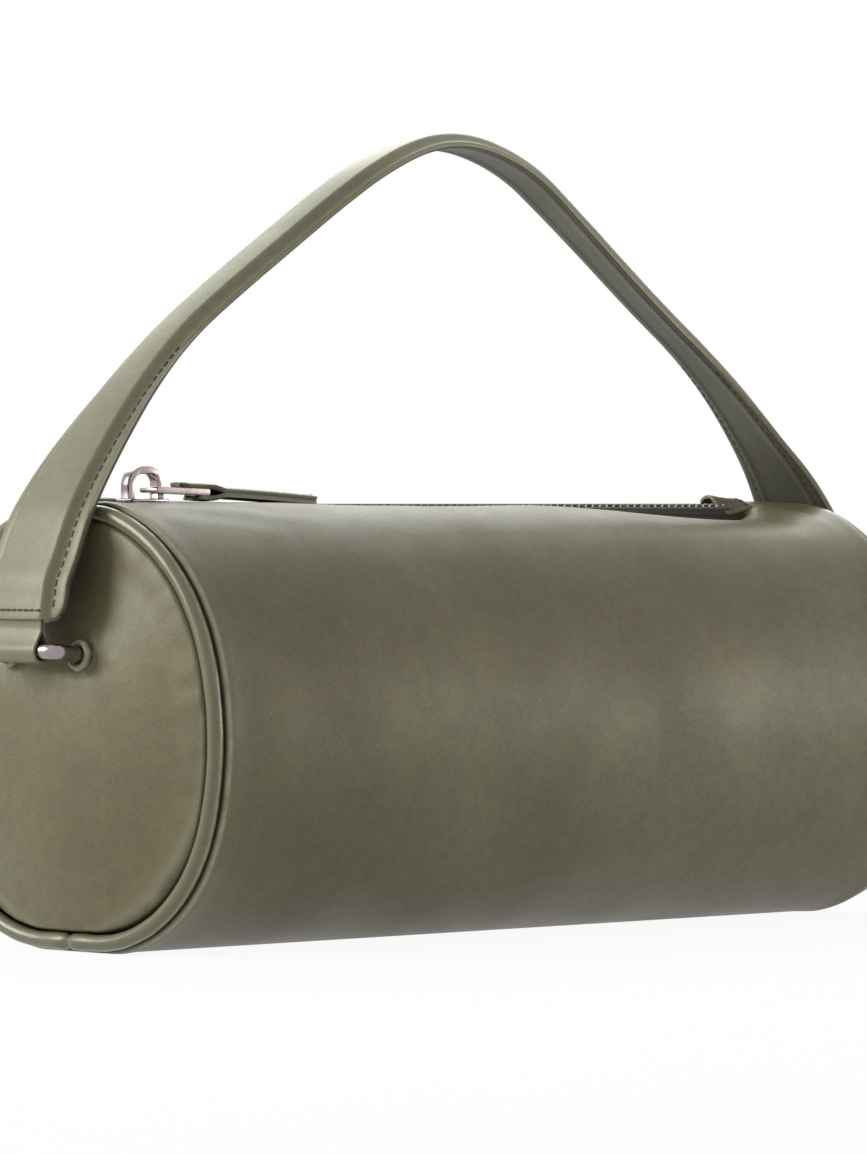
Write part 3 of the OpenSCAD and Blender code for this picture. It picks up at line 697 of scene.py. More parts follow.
def wrap_give(x, s, soft):
    """How far the soft wrap stands out from its drawn outline, in mm."""
    y, z, _, _ = outline(s)
    to_end = WRAP_END - abs(x)
    broad = 0.9 * rumple(x, y, z, 62.0, 3.1) + 0.35 * rumple(x, y, z, 27.0, 8.4)
    broad += 0.10 * rumple(x, y, z, 11.0, 1.9)
    pucker = 0.26 * math.exp(-to_end / 7.0) * rumple(s, to_end * 0.35, 0.0, 6.5, 5.7)
    by_slider = hill(x + 110.0, 26.0) * hill(abs(s) - 23.0, 14.0)
    wave = 0.48 * (0.97 * abs(s) - 0.24 * (x + 139.0)) + 0.8 * rumple(x, y, z, 18.0, 6.6)
    folds = 0.24 * by_slider * math.sin(wave)
    above_base = ease((z - 2.0) / 16.0)
    return above_base * (soft * (broad + folds) * ease(to_end / 22.0) + pucker) - lip_sag(x, s)


def build_wrap(sizes):
    """The leather wrap, hemmed at both ends, with the zip opening cut out of its top."""
    hem_to = WRAP_END - HEM[-1][0]
    middle = steps(-hem_to, SLOT_TO, 2.6)[1:] + steps(SLOT_TO, hem_to, 2.6)[1:-1]
    us = [(-WRAP_END + d, i) for d, i in HEM]
    us += [(x, 0.0) for x in middle]
    us += [(WRAP_END - d, i) for d, i in reversed(HEM)]
    nearest = min(range(len(us)), key=lambda k: abs(us[k][0] - SLOT_FROM))
    us[nearest] = (SLOT_FROM, us[nearest][1])
    half = [0.0, 2.4, 4.8, LIP, LIP + 0.7, LIP + 1.6] + steps(LIP + 1.6, HALF_ROUND, 2.6)[1:]

    def place(u, s):
        x, inset = u
        lip = 0.55 * ease(1 - (abs(s) - LIP) / 1.8) if SLOT_FROM <= x <= SLOT_TO else 0.0
        out = wrap_give(x, s, sizes.softness) - inset - lip
        y, z, ny, nz = outline(s)
        return x, y + out * ny, max(z + out * nz, 0.0)

    # Painted highlight: a bright line along the hem's lip next to the piping, and along the cut lip of the zip
    # opening.
    def worn(p):
        hem = ease(1 - abs(WRAP_END - 0.8 - abs(p.x)) / 1.1)
        return hem + 0.95 * ease(1 - (abs(p.y) - 6.9) / 1.9) * (p.z > 118) * (abs(p.x) < 136)

    obj = laid_sheet("bag_wrap", us, mirrored(half), place, lambda u, v: abs(v) < LIP and SLOT_FROM < u < SLOT_TO)
    face_to(obj, obj.data.polygons[0].center - MIDDLE)
    thicken(obj, 1.45, 0.35)
    mark(obj, "worn", worn)
    # Painted shade: the hem's end is darkened where it meets the piping.
    mark(obj, "seam", lambda p: ease((abs(p.x) - WRAP_END + 0.12) / 0.3))
    smooth(obj, 50)
    2 * (WRAP_END + 3) * MM
    2 * HALF_ROUND * MM
    settle(obj, "bag", "wrap_leather", ["wrap"], "barrel_panel")


def leg_seats(side):
    """Where the staple's legs go through an end, as (point, direction outwards)."""
    tilt = math.asin((BAR_Z - DOME_Z) / (DOME_R + BAR_OUT))
    cos, sin = math.cos(tilt), math.sin(tilt)
    x, z = DOME_X + DOME_R * cos, DOME_Z + DOME_R * sin
    return [(Vector((side * x, y, z)), Vector((side * cos, 0, sin))) for y in (-LEG_Y, LEG_Y)]


def add_collar(seat, out):
    """A rolled and puckered ring of leather where a staple leg goes in."""
    pick()
    bpy.ops.mesh.primitive_torus_add(
        major_segments=48, minor_segments=12, major_radius=3.5 * MM, minor_radius=1.05 * MM, location=(0, 0, 0)
    )
    collar = bpy.context.active_object
    for v in collar.data.vertices:
        turn = math.atan2(v.co.y, v.co.x)
        v.co *= 1 + 0.11 * rumple(3 * math.cos(turn), 3 * math.sin(turn), seat.y, 1.0, 1.7)
        v.co.z *= 1.15
    aim = out.to_track_quat("Z", "Y").to_matrix().to_4x4()
    collar.data.transform(Matrix.Translation((seat + out * 0.25) * MM) @ aim)
    return collar


def build_end(side, sizes):
    """A domed end, puffed behind its rolled rim and drawn in round the staple's legs."""
    shares = [0.0] + steps(0.03, 0.78, 0.025) + steps(0.78, 0.95, 0.017)[1:] + steps(0.95, 1.0, 0.005)[1:]
    us = [(t, 0.0) for t in shares] + [(1.0, d) for d in (0.8, 2.0, 4.0, 7.0)]
    legs = leg_seats(side)
    rim = RIM_X + 0.9

    def dip(y, z):
        """How deep the leather lies round the staple's legs."""
        deep = 0.0
        for seat, _ in legs:
            d = math.hypot(y - seat.y, (z - seat.z) * 1.25)
            a = math.atan2(z - seat.z, y - seat.y)
            deep += 1.25 * (hill(d, 7.0) - hill(d, 3.4))
            deep += 0.32 * hill(d - 7.5, 3.8) * rumple(2.6 * math.cos(a), 2.6 * math.sin(a), seat.y, 1.0, 4.9)
        return deep

    def place(u, s):
        t, drop = u
        y, z, ny, nz = outline(s, END_INSET - PLAY)
        y, z = y * t, DOME_Z + (z - DOME_Z) * t
        x = DOME_X + math.sqrt(DOME_R**2 - math.hypot(y, z - DOME_Z) ** 2)
        full = (0.55 + 0.75 * max(0.0, nz)) * ease((t - 0.80) / 0.17) * (1 - ease((t - 0.972) / 0.028))
        y, z = y + 1.15 * full * ny, z + 1.15 * full * nz
        roll = 4.4 * ease((t - 0.958) / 0.042) ** 1.4
        pucker = 0.34 * rumple(s, 4 * t, side * 9.0, 5.2, 2.2) + 0.2 * rumple(s, 0, 7.0, 2.7, 6.1)
        pucker *= ease((t - 0.72) / 0.28)
        broad = sizes.softness * 0.8 * (1 - t**6) * rumple(y, z, side * 30.0, 34.0, 4.4)
        return side * (x + broad + 1.3 * full + pucker - roll - dip(y, z) - drop), y, z

    # Painted highlight: a faint pale ring just inside the rolled rim, and a paler ring on the crest of each leg's
    # collar.
    def worn(p):
        from_leg = min((p - seat).length for seat, _ in legs)
        return 0.25 * ease(1 - abs(abs(p.x) - rim) / 0.9) + 0.7 * ease(1 - abs(from_leg - 4.4) / 1.1)

    obj = laid_sheet(f"bag_end_{end_of(side)}", us, steps(-HALF_ROUND, HALF_ROUND, 2.4), place)
    face_to(obj, (side, 0, 0), biggest_face(obj))
    for seat, out in legs:
        pick(obj, add_collar(seat, out))
        bpy.ops.object.join()
    mark(obj, "worn", worn)
    # Painted shade: darker towards the rim, in the groove against the piping.
    mark(obj, "seam", lambda p: ease((rim - abs(p.x)) / 1.5))
    smooth(obj, 60)
    settle(obj, "bag", "end_leather", ["end"], f"end_panel_{end_of(side)}")


def build_piping(side):
    """The leather-covered cord sewn in round an end, butted under the base."""
    turns = [2 * math.pi * k / 18 for k in range(19)]

    def place(a, s):
        y, z, ny, nz = outline(s, PIPING_INSET)
        uneven = 0.035 * rumple(s, a, side * 3.0, 4.2, 7.7) + 0.03 * rumple(s, side * 5.0, 0, 13.0, 1.1)
        butt = HALF_ROUND - abs(s)
        r = (PIPING_R + 0.12) * (1 + uneven)
        r *= 1 - 0.35 * hill(butt, 0.9) + 0.08 * ease(1 - abs(butt - 6.0) / 5.0)
        out, along = r * math.cos(a), r * math.sin(a)
        return side * (RIM_X - 0.3 + along), y + out * ny, z + out * nz

    # Paler along the cord's outer crest: partly rubbed wear, partly painted highlight.
    def worn(p):
        outer_side = ease((p.y * p.y + (p.z - 65) ** 2 - 64.2**2) / 60)
        return 0.12 + 0.75 * hill(abs(p.x) - RIM_X + 0.1, 0.5) * outer_side

    obj = laid_sheet(f"piping_cord_{end_of(side)}", turns, steps(-HALF_ROUND, HALF_ROUND, 1.7), place, closed=True)
    mark(obj, "worn", worn)
    # Painted shade: darker on the cord's inner side, in the groove against the end.
    mark(obj, "seam", lambda p: ease((RIM_X - 1.5 - abs(p.x)) / 0.5))
    smooth(obj, 60)
    settle(obj, "bag", "piping_leather", ["piping"], f"piping_{end_of(side)}")


def strap_places(start, size):
    """(side, s) from the left end over the crown to the right end."""
    half = steps(start, start + NOTCH_L, 0.7) + steps(start + NOTCH_L, HALF_STRAP, size)[1:]
    return [(-1, s) for s in half] + [(1, s) for s in reversed(half[:-1])]


def strap_rise(y, s):
    """Height of the outer leather over the padding, across the strap."""
    c, a = pad_half(s), abs(y)
    n = CORE_T * (1 - ease((a - c + 0.5) / 2.2)) + 0.35 * max(0.0, 1 - (y / c) ** 2)
    return n - 0.22 * hill(a - c - MARGIN, 0.5)


def across(s, column):
    """Place across the strap of a column of its mesh, spaced so that its folds stay sharp."""
    c, h = pad_half(s), strap_half(s)
    inner = [0.0, 0.35 * c, 0.7 * c, c - 0.9, c - 0.4, c + 0.1, c + 0.6, c + 1.1, c + 1.7, c + 2.1, c + 2.6]
    inner = [min(v, h - 0.02 * (len(inner) - k)) for k, v in enumerate(inner)]
    last = inner[-1]
    half = inner + [last + (h - last) * t for t in (0.35, 0.7, 1.0)]
    return math.copysign(half[abs(int(column))], column) if column else 0.0


def crown_face(obj):
    """The face of the strap nearest to the bag's middle."""
    return min(obj.data.polygons, key=lambda f: abs(f.center.x) + abs(f.center.y))


def strap_seats(pitch, tip):
    """Seats of the strap's stitches: along both margins, and across each lower end."""
    seats = []
    for side in (-1, 1):
        for row in (-1, 1):
            s = STRAP_FROM + 4.6
            while s < HALF_STRAP - 1.0:
                y = row * (pad_half(s) + MARGIN)
                if abs(y) < strap_half(s) - 0.9:
                    a, b = (
                        Vector(strap_point(side, t, row * (pad_half(t) + MARGIN), 0, tip)) for t in (s - 0.5, s + 0.5)
                    )
                    lean = strap_line(s)[2]
                    out = Vector((side * math.cos(lean), 0, math.sin(lean)))
                    upper, lower = OUTER_N + strap_rise(y, s) + 0.02, INNER_N - UNDER_T + 0.28
                    seats.append((strap_point(side, s, y, upper, tip), b - a, out))
                    seats.append((strap_point(side, s, y, lower, tip), b - a, -out))
                s += pitch
        s = STRAP_FROM + 2.6
        for y in (k * 2.55 for k in range(-4, 5)):
            upper, lower = OUTER_N + strap_rise(y, s) - 0.02, INNER_N - UNDER_T + 0.45
            seats.append((strap_point(side, s, y, upper, tip), (0, 1, 0), (side, 0, 0)))
            seats.append((strap_point(side, s, y, lower, tip), (0, 1, 0), (-side, 0, 0)))
    return seats


def build_handle(sizes):
    """The strap: outer leather, lining, padding and stitches."""
    tip = sizes.handle_lean
    places = strap_places(STRAP_FROM, 2.6)
    columns = [float(k) for k in range(-13, 14)]

    def outer(u, column):
        side, s = u
        y = across(s, column)
        n = OUTER_N + strap_rise(y, s) - 0.25 * ease((abs(y) - strap_half(s) + 1.6) / 1.6)
        return strap_point(side, s, y, n + 0.07 * rumple(side * s, y, 0, 9.0, 2.9), tip)

    def under(u, column):
        side, s = u
        y = across(s, column)
        from_pad = abs(y) - pad_half(s)
        n = INNER_N - UNDER_T + 0.18 * hill(from_pad - MARGIN, 0.5)
        n += 0.3 * ease((abs(y) - strap_half(s) + 1.4) / 1.4) + 0.35 * (1 - ease((from_pad + 1.5) / 1.8))
        return strap_point(side, s, y, n, tip)

    def core(u, v):
        side, s = u
        y = (pad_half(s) - 0.6) * math.copysign(min(1.0, abs(v)), v)
        n = INNER_N + 0.3 + (CORE_T - 0.6) * (abs(v) < 1.2)
        return strap_point(side, s, y, n, tip)

    top = laid_sheet("strap_outer", places, columns, outer)
    face_to(top, (0, 0, 1), crown_face(top))
    leather_piece(
        top, OUTER_T, 0.28, 45, "handle", ["strap", "edge"], "handle_strap",
        # Paler at the top of the crown: partly wear from the hand, partly painted highlight.
        worn=lambda p: 0.5 * ease((p.z - 225) / 12),
    )

    low = laid_sheet("strap_lining", places, columns, under)
    face_to(low, (0, 0, -1), crown_face(low))
    leather_piece(
        low, UNDER_T * 0.8, 0.25, 45, "handle", ["under", "edge"], "handle_lining", "dark_leather",
        # Painted shade: the lining darkens towards the bottom of each flank.
        seam=lambda p: 0.5 * ease((160 - p.z) / 50),
    )

    pad = laid_sheet("strap_padding", strap_places(RISE_L + 6.0, 5.0), mirrored([0.0, 0.5, 1.0, 1.5]), core)
    settle(pad, "handle", "padding", ["padding"], "handle_core")

    pitch = sizes.stitch_pitch
    sew("strap_stitches", strap_seats(pitch, tip), pitch * 0.66, 0.78, "handle")


def build_loop(side):
    """A leather loop folded round the staple's bar, its tongue between the strap's leathers."""
    thick, tongue = 0.95, [16.3, 13.0, 10.0, 8.6, 7.2, 5.9]
    ring, inner = BAR_R + 0.15 + thick, INNER_N + LAYER_GAP
    first, last = math.radians(38), math.radians(-218)
    turns = [first + (last - first) * k / 24 for k in range(25)]
    path = [(inner + 2 * thick, z) for z in tongue]
    path += [(ring * math.cos(a), ring * math.sin(a)) for a in turns]
    path += [(inner, z) for z in reversed(tongue)]

    def place(u, v):
        x, z = u
        bulge = 0.06 * rumple(x * 3, v, z * 3, 5.0, 3.3)
        return side * (BAR_X + x + bulge), v * (1 - 0.03 * max(0.0, (z - 9) / 8)), BAR_Z + z

    obj = laid_sheet(f"handle_fold_{end_of(side)}", path, steps(-10.5, 10.5, 1.5), place)
    face_to(obj, (0, 0, -1), min(obj.data.polygons, key=lambda f: f.center.z))
    leather_piece(obj, thick * 0.95, 0.25, 50, None, ["strap", "edge"], f"handle_loop_{end_of(side)}")
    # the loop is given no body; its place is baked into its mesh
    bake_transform(obj)


def build_staples():
    """The staples with their plates and screws."""
    for end in ("left", "right"):
        metal_piece(f"staple_{end}", f"staple_bar_{end}", "bag", "nickel")
        for part in ("plate", "screws"):
            metal_piece(f"staple_{part}_{end}", f"inner_{part}_{end}", "bag", "steel", 0.15, slot="plain_steel")


def build_tape(side):
    """One cloth tape of the zip, from the teeth to under the wrap's lip."""
    name = "front" if side < 0 else "back"
    us = steps(SLOT_FROM + 0.2, SLOT_TO - 0.2, 2.2)
    vs = [3.1, 3.8, 4.6, 5.4, 5.9, 6.4, 6.9, 8.2, 9.6, 11.0]
    level = CHAIN_Z + 0.28

    def place(x, y):
        under = outline(y, 1.95)[1] + wrap_give(x, side * y, 0.0)
        curl = 1.4 * ease(1 - (x - SLOT_FROM) / 3.6) * ease(1 - (y - 4.0) / 3.0)
        z = level + (under - level) * ease((y - 3.9) / 3.6) + curl
        return x, side * y, z + 0.05 * rumple(x, y, side * 4.0, 6.0, 2.0)

    obj = laid_sheet(f"tape_{name}", us, vs, place)
    face_to(obj, (0, 0, 1))
    thicken(obj, 0.5, 0)
    smooth(obj, 40)
    (us[-1] - us[0]) * MM
    settle(obj, "bag", "tape_cloth", ["tape"], f"zip_tape_{name}")


def build_zip():
    """The zip's tapes, teeth and stops."""
    for side in (-1, 1):
        build_tape(side)
    for row in ("front", "back"):
        metal_piece(f"zip_teeth_{row}", f"row_of_teeth_{row}", "bag", "teeth", 0.22, 1)
    for stop in ("top_stops", "bottom_stop"):
        metal_piece(f"zip_{stop}", stop, "bag", "teeth", 0.35, 3, 40)


def build_zip_ends():
    """The leather pieces that cover the zip's two ends, and their stitches."""
    half = 5.6

    def tab(x, y):
        wide = half - 0.9 * ease((x - SLOT_FROM - 1.2) / 1.6)
        dome = 0.35 * (1 - (y / half) ** 2) - 0.5 * ease((x - SLOT_FROM - 1.4) / 1.2)
        return x, y / half * wide, BARREL_H + 1.25 + dome - (0 if abs(y) < 4.9 else 0.12)

    obj = laid_sheet("zip_cover_left", steps(SLOT_FROM - 4.8, SLOT_FROM + 2.8, 0.6), steps(-half, half, 0.7), tab)
    face_to(obj, (0, 0, 1))
    leather_piece(obj, 1.2, 0.3, 45, "bag", ["strap", "edge"], "zip_end_tab_left")

    near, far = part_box("zip_end_flap_right")
    low, high, wide = near.x / MM, far.x / MM, far.y / MM

    def flap(x, y):
        t, v = (x - low) / (high - low), y / wide
        arch = (1.35 - 0.8 * ease(t * 1.05)) * (1 - abs(v) ** 2.3) + 0.5 * v * (1 - t)
        curl = 0.3 * (1 - ease(t * 2.6)) * (1 - v * v)
        rest = 0.5 * lip_sag(x, y - 3.0) * ease(0.25 - v)
        z = BARREL_H + 0.75 + arch + curl - 0.6 * ease(abs(v) * 1.6 - 0.6) - rest
        return x - 1.5 * (1 - v * v) * (1 - t), y * (1 - 0.10 * ease((t - 0.6) / 0.4)), z

    obj = laid_sheet("zip_cover_right", steps(low, high, 0.7), steps(-wide, wide, 0.6), flap)
    face_to(obj, (0, 0, 1))
    leather_piece(obj, 1.25, 0.3, 45, "bag", ["strap", "edge", "raw"], "zip_end_flap_right")

    spots = [(SLOT_FROM - 3.6, y, BARREL_H + 1.5) for y in (-3.6, -1.2, 1.2, 3.6)]
    spots += [Vector(flap(high - 1.6, y)) + Vector((0, 0, 0.02)) for y in (-4.4, -2.2, 0.0, 2.2, 4.4)]
    sew("zip_cover_stitches", [(spot, (0, 1, 0), (0, 0, 1)) for spot in spots], 1.7, 0.5, "bag")


def build_slider():
    """The zip slider with its arch."""
    metal_piece("zip_slider", "slider_body", "slider", "nickel", 0.3, 3, 40)


def build_puller():
    """The metal link and the two-layer leather tab sewn over it."""
    metal_piece("pull_link", "puller_link", "puller", "nickel", 0.4, 3, 40)

    # along and out turn with the puller, which leans down until the tab nearly rests on the teeth
    pivot_x, pivot_up, reach, leather_t, tooth_half = -119.3, 5.4, 62.6, 1.4, 1.3
    pivot = Vector((pivot_x, 0.0, CHAIN_Z + pivot_up))
    tilt = math.asin((pivot_up - LAYER_GAP / 2 - leather_t - tooth_half - PLAY) / reach)
    along = Vector((math.cos(tilt), 0, -math.sin(tilt)))
    out = Vector((math.sin(tilt), 0, math.cos(tilt)))
    corner_r, neck_r = 2.8, 2.0

    def half_width(x, start):
        w = 4.2 + 2.05 * ease((x - 19.0) / 5.0)
        for past, r in ((x - reach + corner_r, corner_r), (start + neck_r - x, neck_r)):
            if past > 0:
                w += math.sqrt(max(0.0, r**2 - past**2)) - r
        return w

    def layer(start, up):
        def place(x, v):
            w = half_width(x, start)
            on_link = 0.98 * (1 - ease((x - 21.0) / 3.5)) + 0.03
            n = on_link + leather_t - 0.22 * ease((abs(v) - 0.8) / 0.2) + 0.25 * (1 - v * v)
            n -= 0.16 * hill(w - abs(v * w) - 1.7, 0.4)
            droop = 0.95 * ((x - 20.0) / (reach - 20.0)) ** 2 if x > 20.0 else 0.0
            return pivot + along * x + Vector((0, v * w, 0)) + out * (up * n - droop)
        return place

    shares = mirrored([0.0, 0.15, 0.3, 0.45, 0.6, 0.7, 0.8, 0.88, 0.95, 1.0])
    seats = []
    for name, node, start, up in (("tab_top", "pull_tab_upper", 10.0, 1), ("tab_bottom", "pull_tab_lower", 15.3, -1)):
        place = layer(start, up)
        us = steps(start, start + neck_r, 0.4) + steps(start + neck_r, reach - corner_r, 1.2)[1:]
        obj = laid_sheet(name, us + steps(reach - corner_r, reach, 0.4)[1:], shares, place)
        face_to(obj, (0, 0, up), obj.data.polygons[len(obj.data.polygons) // 2])
        # The tab's edges take the near-black edge paint, which is partly painted shade.
        leather_piece(obj, 1.32, 0.25, 45, "puller", ["strap", "tab_edge"], node)

        sunk = out * (0.18 if up < 0 else 0.0)
        x = 25.0
        while x < reach - 2.0:
            share = 1 - 1.7 / half_width(x, start)
            seats += [(place(x, row * share) + sunk, along, out * up) for row in (-1, 1)]
            x += 2.6
        if up > 0:
            w = half_width(reach - 2.0, start)
            seats += [(place(reach - 2.0, y / w), (0, 1, 0), out) for y in (-3.2, -0.6, 2.0)]
    sew("tab_stitches", seats, 1.9, 0.48, "puller")


def cloth(obj):
    """Give a lining its thickness, and tell its area before that."""
    cut = sheet_area(obj)
    modify(obj, "SOLIDIFY", thickness=0.45 * MM, offset=0.0)
    smooth(obj, 60)
    return cut


def build_barrel_lining():
    """The cloth lining under the wrap, cut out below the zip."""
    us = steps(-LINING_X, SLOT_FROM, 4.0)[:-1] + steps(SLOT_FROM, SLOT_TO, 4.0)[:-1]
    us += steps(SLOT_TO, LINING_X, 4.0)
    half = [0.0, 3.5, 7.2, 8.4] + steps(8.4, HALF_ROUND - 1.0, 4.0)[1:]

    def place(x, v):
        s = v * (HALF_ROUND / (HALF_ROUND - 1.0))
        loose = 0.8 * abs(rumple(x, v, 0.0, 38.0, 6.6)) + 0.5 * abs(rumple(x * 2.2, v * 0.5, 1.0, 24.0, 2.4))
        loose *= ease((outline(s)[1] - 6.0) / 14.0)
        sag = lip_sag(x, s) if abs(s) < SAGS_TO else 0.0
        return (x, *outline(s, 3.3 + loose + sag)[:2])

    obj = laid_sheet("lining_barrel", us, mirrored(half), place, lambda u, v: abs(v) < 7.2 and SLOT_FROM < u < SLOT_TO)
    face_to(obj, MIDDLE - obj.data.polygons[0].center)
    2 * HALF_ROUND * MM
    cloth(obj)
    settle(obj, "bag", "lining_cloth", ["lining"], "barrel_lining")


def build_end_lining(side):
    """The cloth lining of one end, with its turned edge."""
    end, inner_r = end_of(side), DOME_R - 3.6
    us = [(t, 0.0) for t in steps(0.0, 1.0, 0.06)] + [(1.0, b) for b in (1.5, 4.0, 8.0, 11.5)]

    def place(u, s):
        t, back = u
        y, z, _, _ = outline(s, 7.35)
        y, z = y * t, DOME_Z + (z - DOME_Z) * t
        x = DOME_X + math.sqrt(inner_r**2 - y**2 - (z - DOME_Z) ** 2)
        soft = 0.5 * abs(rumple(y, z, side * 12.0, 22.0, 3.8)) * (1 - t**4)
        return side * (x - soft - back - 0.3), y, z

    obj = laid_sheet(f"lining_end_{end}", us, steps(-HALF_ROUND, HALF_ROUND, 4.0), place)
    face_to(obj, (-side, 0, 0), biggest_face(obj))
    cloth(obj)
    settle(obj, "bag", "lining_cloth", ["lining"], f"end_lining_{end}")


def build_inside():
    """The cloth linings, and the finish of the boards, which stay as they are."""
    build_barrel_lining()
    for side in (-1, 1):
        build_end_lining(side)
    for node in ("base_board", "end_board_left", "end_board_right"):
        slots = bpy.data.objects[node].data.materials
        slots.clear()
        slots.append(MATERIALS["board"])


# Stage

def seen(r):
    """1 for rays that show a surface to the camera, straight, in a reflection or through glass."""
    rays = r.node("ShaderNodeLightPath").socket.node.outputs
    shown = Wire(r, rays["Is Camera Ray"]).highest(Wire(r, rays["Is Glossy Ray"]))
    return shown.highest(Wire(r, rays["Is Transmission Ray"]))


def add_floor():
    """A wide pale floor that photographs as white and still takes a shadow."""
    pick()
    bpy.ops.mesh.primitive_plane_add(size=30, location=(0, 0, 0))
    floor = bpy.context.active_object
    floor.name = "floor"
    r = Recipe("pale floor")
    matt = r.node("ShaderNodeBsdfDiffuse", None, {"Color": (0.82, 0.82, 0.81, 1.0)})
    glow = r.node("ShaderNodeEmission", None, {"Color": (1, 1, 1, 1), "Strength": 1.0})
    mixed = r.node("ShaderNodeMixShader", None, {0: seen(r) * 0.93, 1: matt, 2: glow})
    r.node("ShaderNodeOutputMaterial", None, {"Surface": mixed})
    floor.data.materials.append(r.material)


def add_surroundings(ambient):
    """Even light from all round, in front of white."""
    world = bpy.data.worlds.new("studio")
    bpy.context.scene.world = world
    r = Recipe("studio", world)
    even = r.node("ShaderNodeBackground", None, {"Color": (1, 1, 1, 1), "Strength": ambient})
    white = r.node("ShaderNodeBackground", None, {"Color": (1, 1, 1, 1), "Strength": 1.0})
    mixed = r.node("ShaderNodeMixShader", None, {0: seen(r), 1: even, 2: white})
    r.node("ShaderNodeOutputWorld", None, {"Surface": mixed})


def add_lamp(name, place, aim, size, power, colour):
    """A softbox at place that shines towards aim."""
    bpy.ops.object.light_add(type="AREA", location=place)
    obj = bpy.context.active_object
    obj.name = name
    obj.data.shape, obj.data.size, obj.data.size_y = "RECTANGLE", size[0], size[1]
    obj.data.energy, obj.data.color = power, colour
    obj.rotation_mode = "QUATERNION"
    obj.rotation_quaternion = (Vector(aim) - Vector(place)).to_track_quat("-Z", "Y")


def add_camera():
    """The photo's view, fitted to the outlines of the bag's two ends."""
    turn, rise, distance = math.radians(44.08), math.radians(0.63), 2047.0
    ahead = Vector((math.sin(turn) * math.cos(rise), math.cos(turn) * math.cos(rise), -math.sin(rise)))
    rightwards = Vector((math.cos(turn), -math.sin(turn), 0))
    aim = Vector((0, 0, 62.0)) + rightwards * -3.0 + rightwards.cross(ahead) * 45.4
    data = bpy.data.cameras.new("photo camera")
    data.lens, data.sensor_width = 209.4, 36.0
    data.clip_start, data.clip_end = 0.05, 60.0
    camera = bpy.data.objects.new("photo camera", data)
    bpy.context.scene.collection.objects.link(camera)
    camera.location = (aim - ahead * distance) * MM
    camera.rotation_mode = "QUATERNION"
    camera.rotation_quaternion = ahead.to_track_quat("-Z", "Y")
    bpy.context.scene.camera = camera
    bpy.context.scene.view_settings.view_transform = "Standard"


def build_stage(look):
    """The floor, the surroundings, three lamps and the camera."""
    add_floor()
    add_surroundings(look.ambient)
    cool, warm = (0.96, 1.0, 0.95), (1.0, 0.97, 0.88)
    add_lamp("back left softbox", (-1.42, 0.98, 0.85), (0, 0, 0.1), (0.95, 0.95), look.key * 1.12, cool)
    add_lamp("overhead softbox", (0.7, 0.95, 1.1), (0, 0, 0.1), (1.8, 1.3), look.key * 0.72, cool)
    add_lamp("front fill", (1.7, -1.0, 0.22), (0.12, 0, 0.06), (1.0, 0.5), look.key * 0.36, warm)
    add_camera()


# Settings

class BarrelBagSizes(bpy.types.PropertyGroup):
    """Sizes of the soft parts."""

    softness: bpy.props.FloatProperty(
        name="Softness", description="Height of the soft hills and hollows in the leather, in mm",
        default=0.8, min=0.0, max=2.0,
    )
    stitch_pitch: bpy.props.FloatProperty(
        name="Stitch pitch", description="Distance from one stitch to the next, in mm", default=3.2, min=2.0, max=5.0,
    )
    handle_lean: bpy.props.FloatProperty(
        name="Handle lean", description="How far the crown of the handle leans along the barrel, in mm",
        default=0.5, min=-8.0, max=8.0,
    )


def colour_setting(name, description, default):
    """A colour in the panel."""
    return bpy.props.FloatVectorProperty(
        name=name, description=description, subtype="COLOR", default=default, min=0.0, max=1.0
    )


class BarrelBagLook(bpy.types.PropertyGroup):
    """Colours and light."""

    leather: colour_setting("Leather", "Main colour of the barrel", srgb(101, 94, 68))
    # The pale colour is also what the painted highlights on lips, hems, piping and crown blend towards.
    leather_light: colour_setting("Leather, light", "Colour of rubbed and stretched leather", srgb(150, 147, 124))
    leather_dark: colour_setting("Leather, dark", "Colour of the darker clouds in the dye", srgb(88, 81, 57))
    trim: colour_setting("Strap leather", "Colour of the handle and tabs", srgb(118, 114, 90))
    leather_back: colour_setting("Leather, back", "Colour of the undyed back of the zip's cover", srgb(196, 194, 176))
    # Pale edge paint: partly its own colour, partly painted highlight along the strap's edges.
    edge: colour_setting("Edge paint", "Colour of the strap's painted edges", srgb(176, 174, 148))
    thread: colour_setting("Thread", "Colour of the stitches", srgb(58, 54, 40))
    metal: colour_setting("Metal", "Colour of the plated metal", (0.36, 0.305, 0.305))
    ambient: bpy.props.FloatProperty(
        name="Ambient light", description="Strength of the even light from all round", default=0.55, min=0.0, max=2.0,
    )
    key: bpy.props.FloatProperty(
        name="Lamp power", description="Power that each lamp's own is a share of",
        default=26.0, min=0.0, max=200.0, unit="POWER",
    )


# Operators

class BAG_OT_stage(bpy.types.Operator):
    """Add the floor, the lamps and the camera"""

    bl_idname = "bag.stage"
    bl_label = "Stage"
    bl_options = {"REGISTER", "UNDO"}

    def execute(self, context):
        make_materials(context.scene.barrel_bag_look)
        build_stage(context.scene.barrel_bag_look)
        return {"FINISHED"}


class BAG_OT_wrap(bpy.types.Operator):
    """Build the leather wrap round the barrel"""

    bl_idname = "bag.wrap"
    bl_label = "Wrap"
    bl_options = {"REGISTER", "UNDO"}

    def execute(self, context):
        build_wrap(context.scene.barrel_bag_sizes)
        return {"FINISHED"}


class BAG_OT_ends(bpy.types.Operator):
    """Build both domed ends"""

    bl_idname = "bag.ends"
    bl_label = "Ends"
    bl_options = {"REGISTER", "UNDO"}

    def execute(self, context):
        for side in (-1, 1):
            build_end(side, context.scene.barrel_bag_sizes)
        return {"FINISHED"}


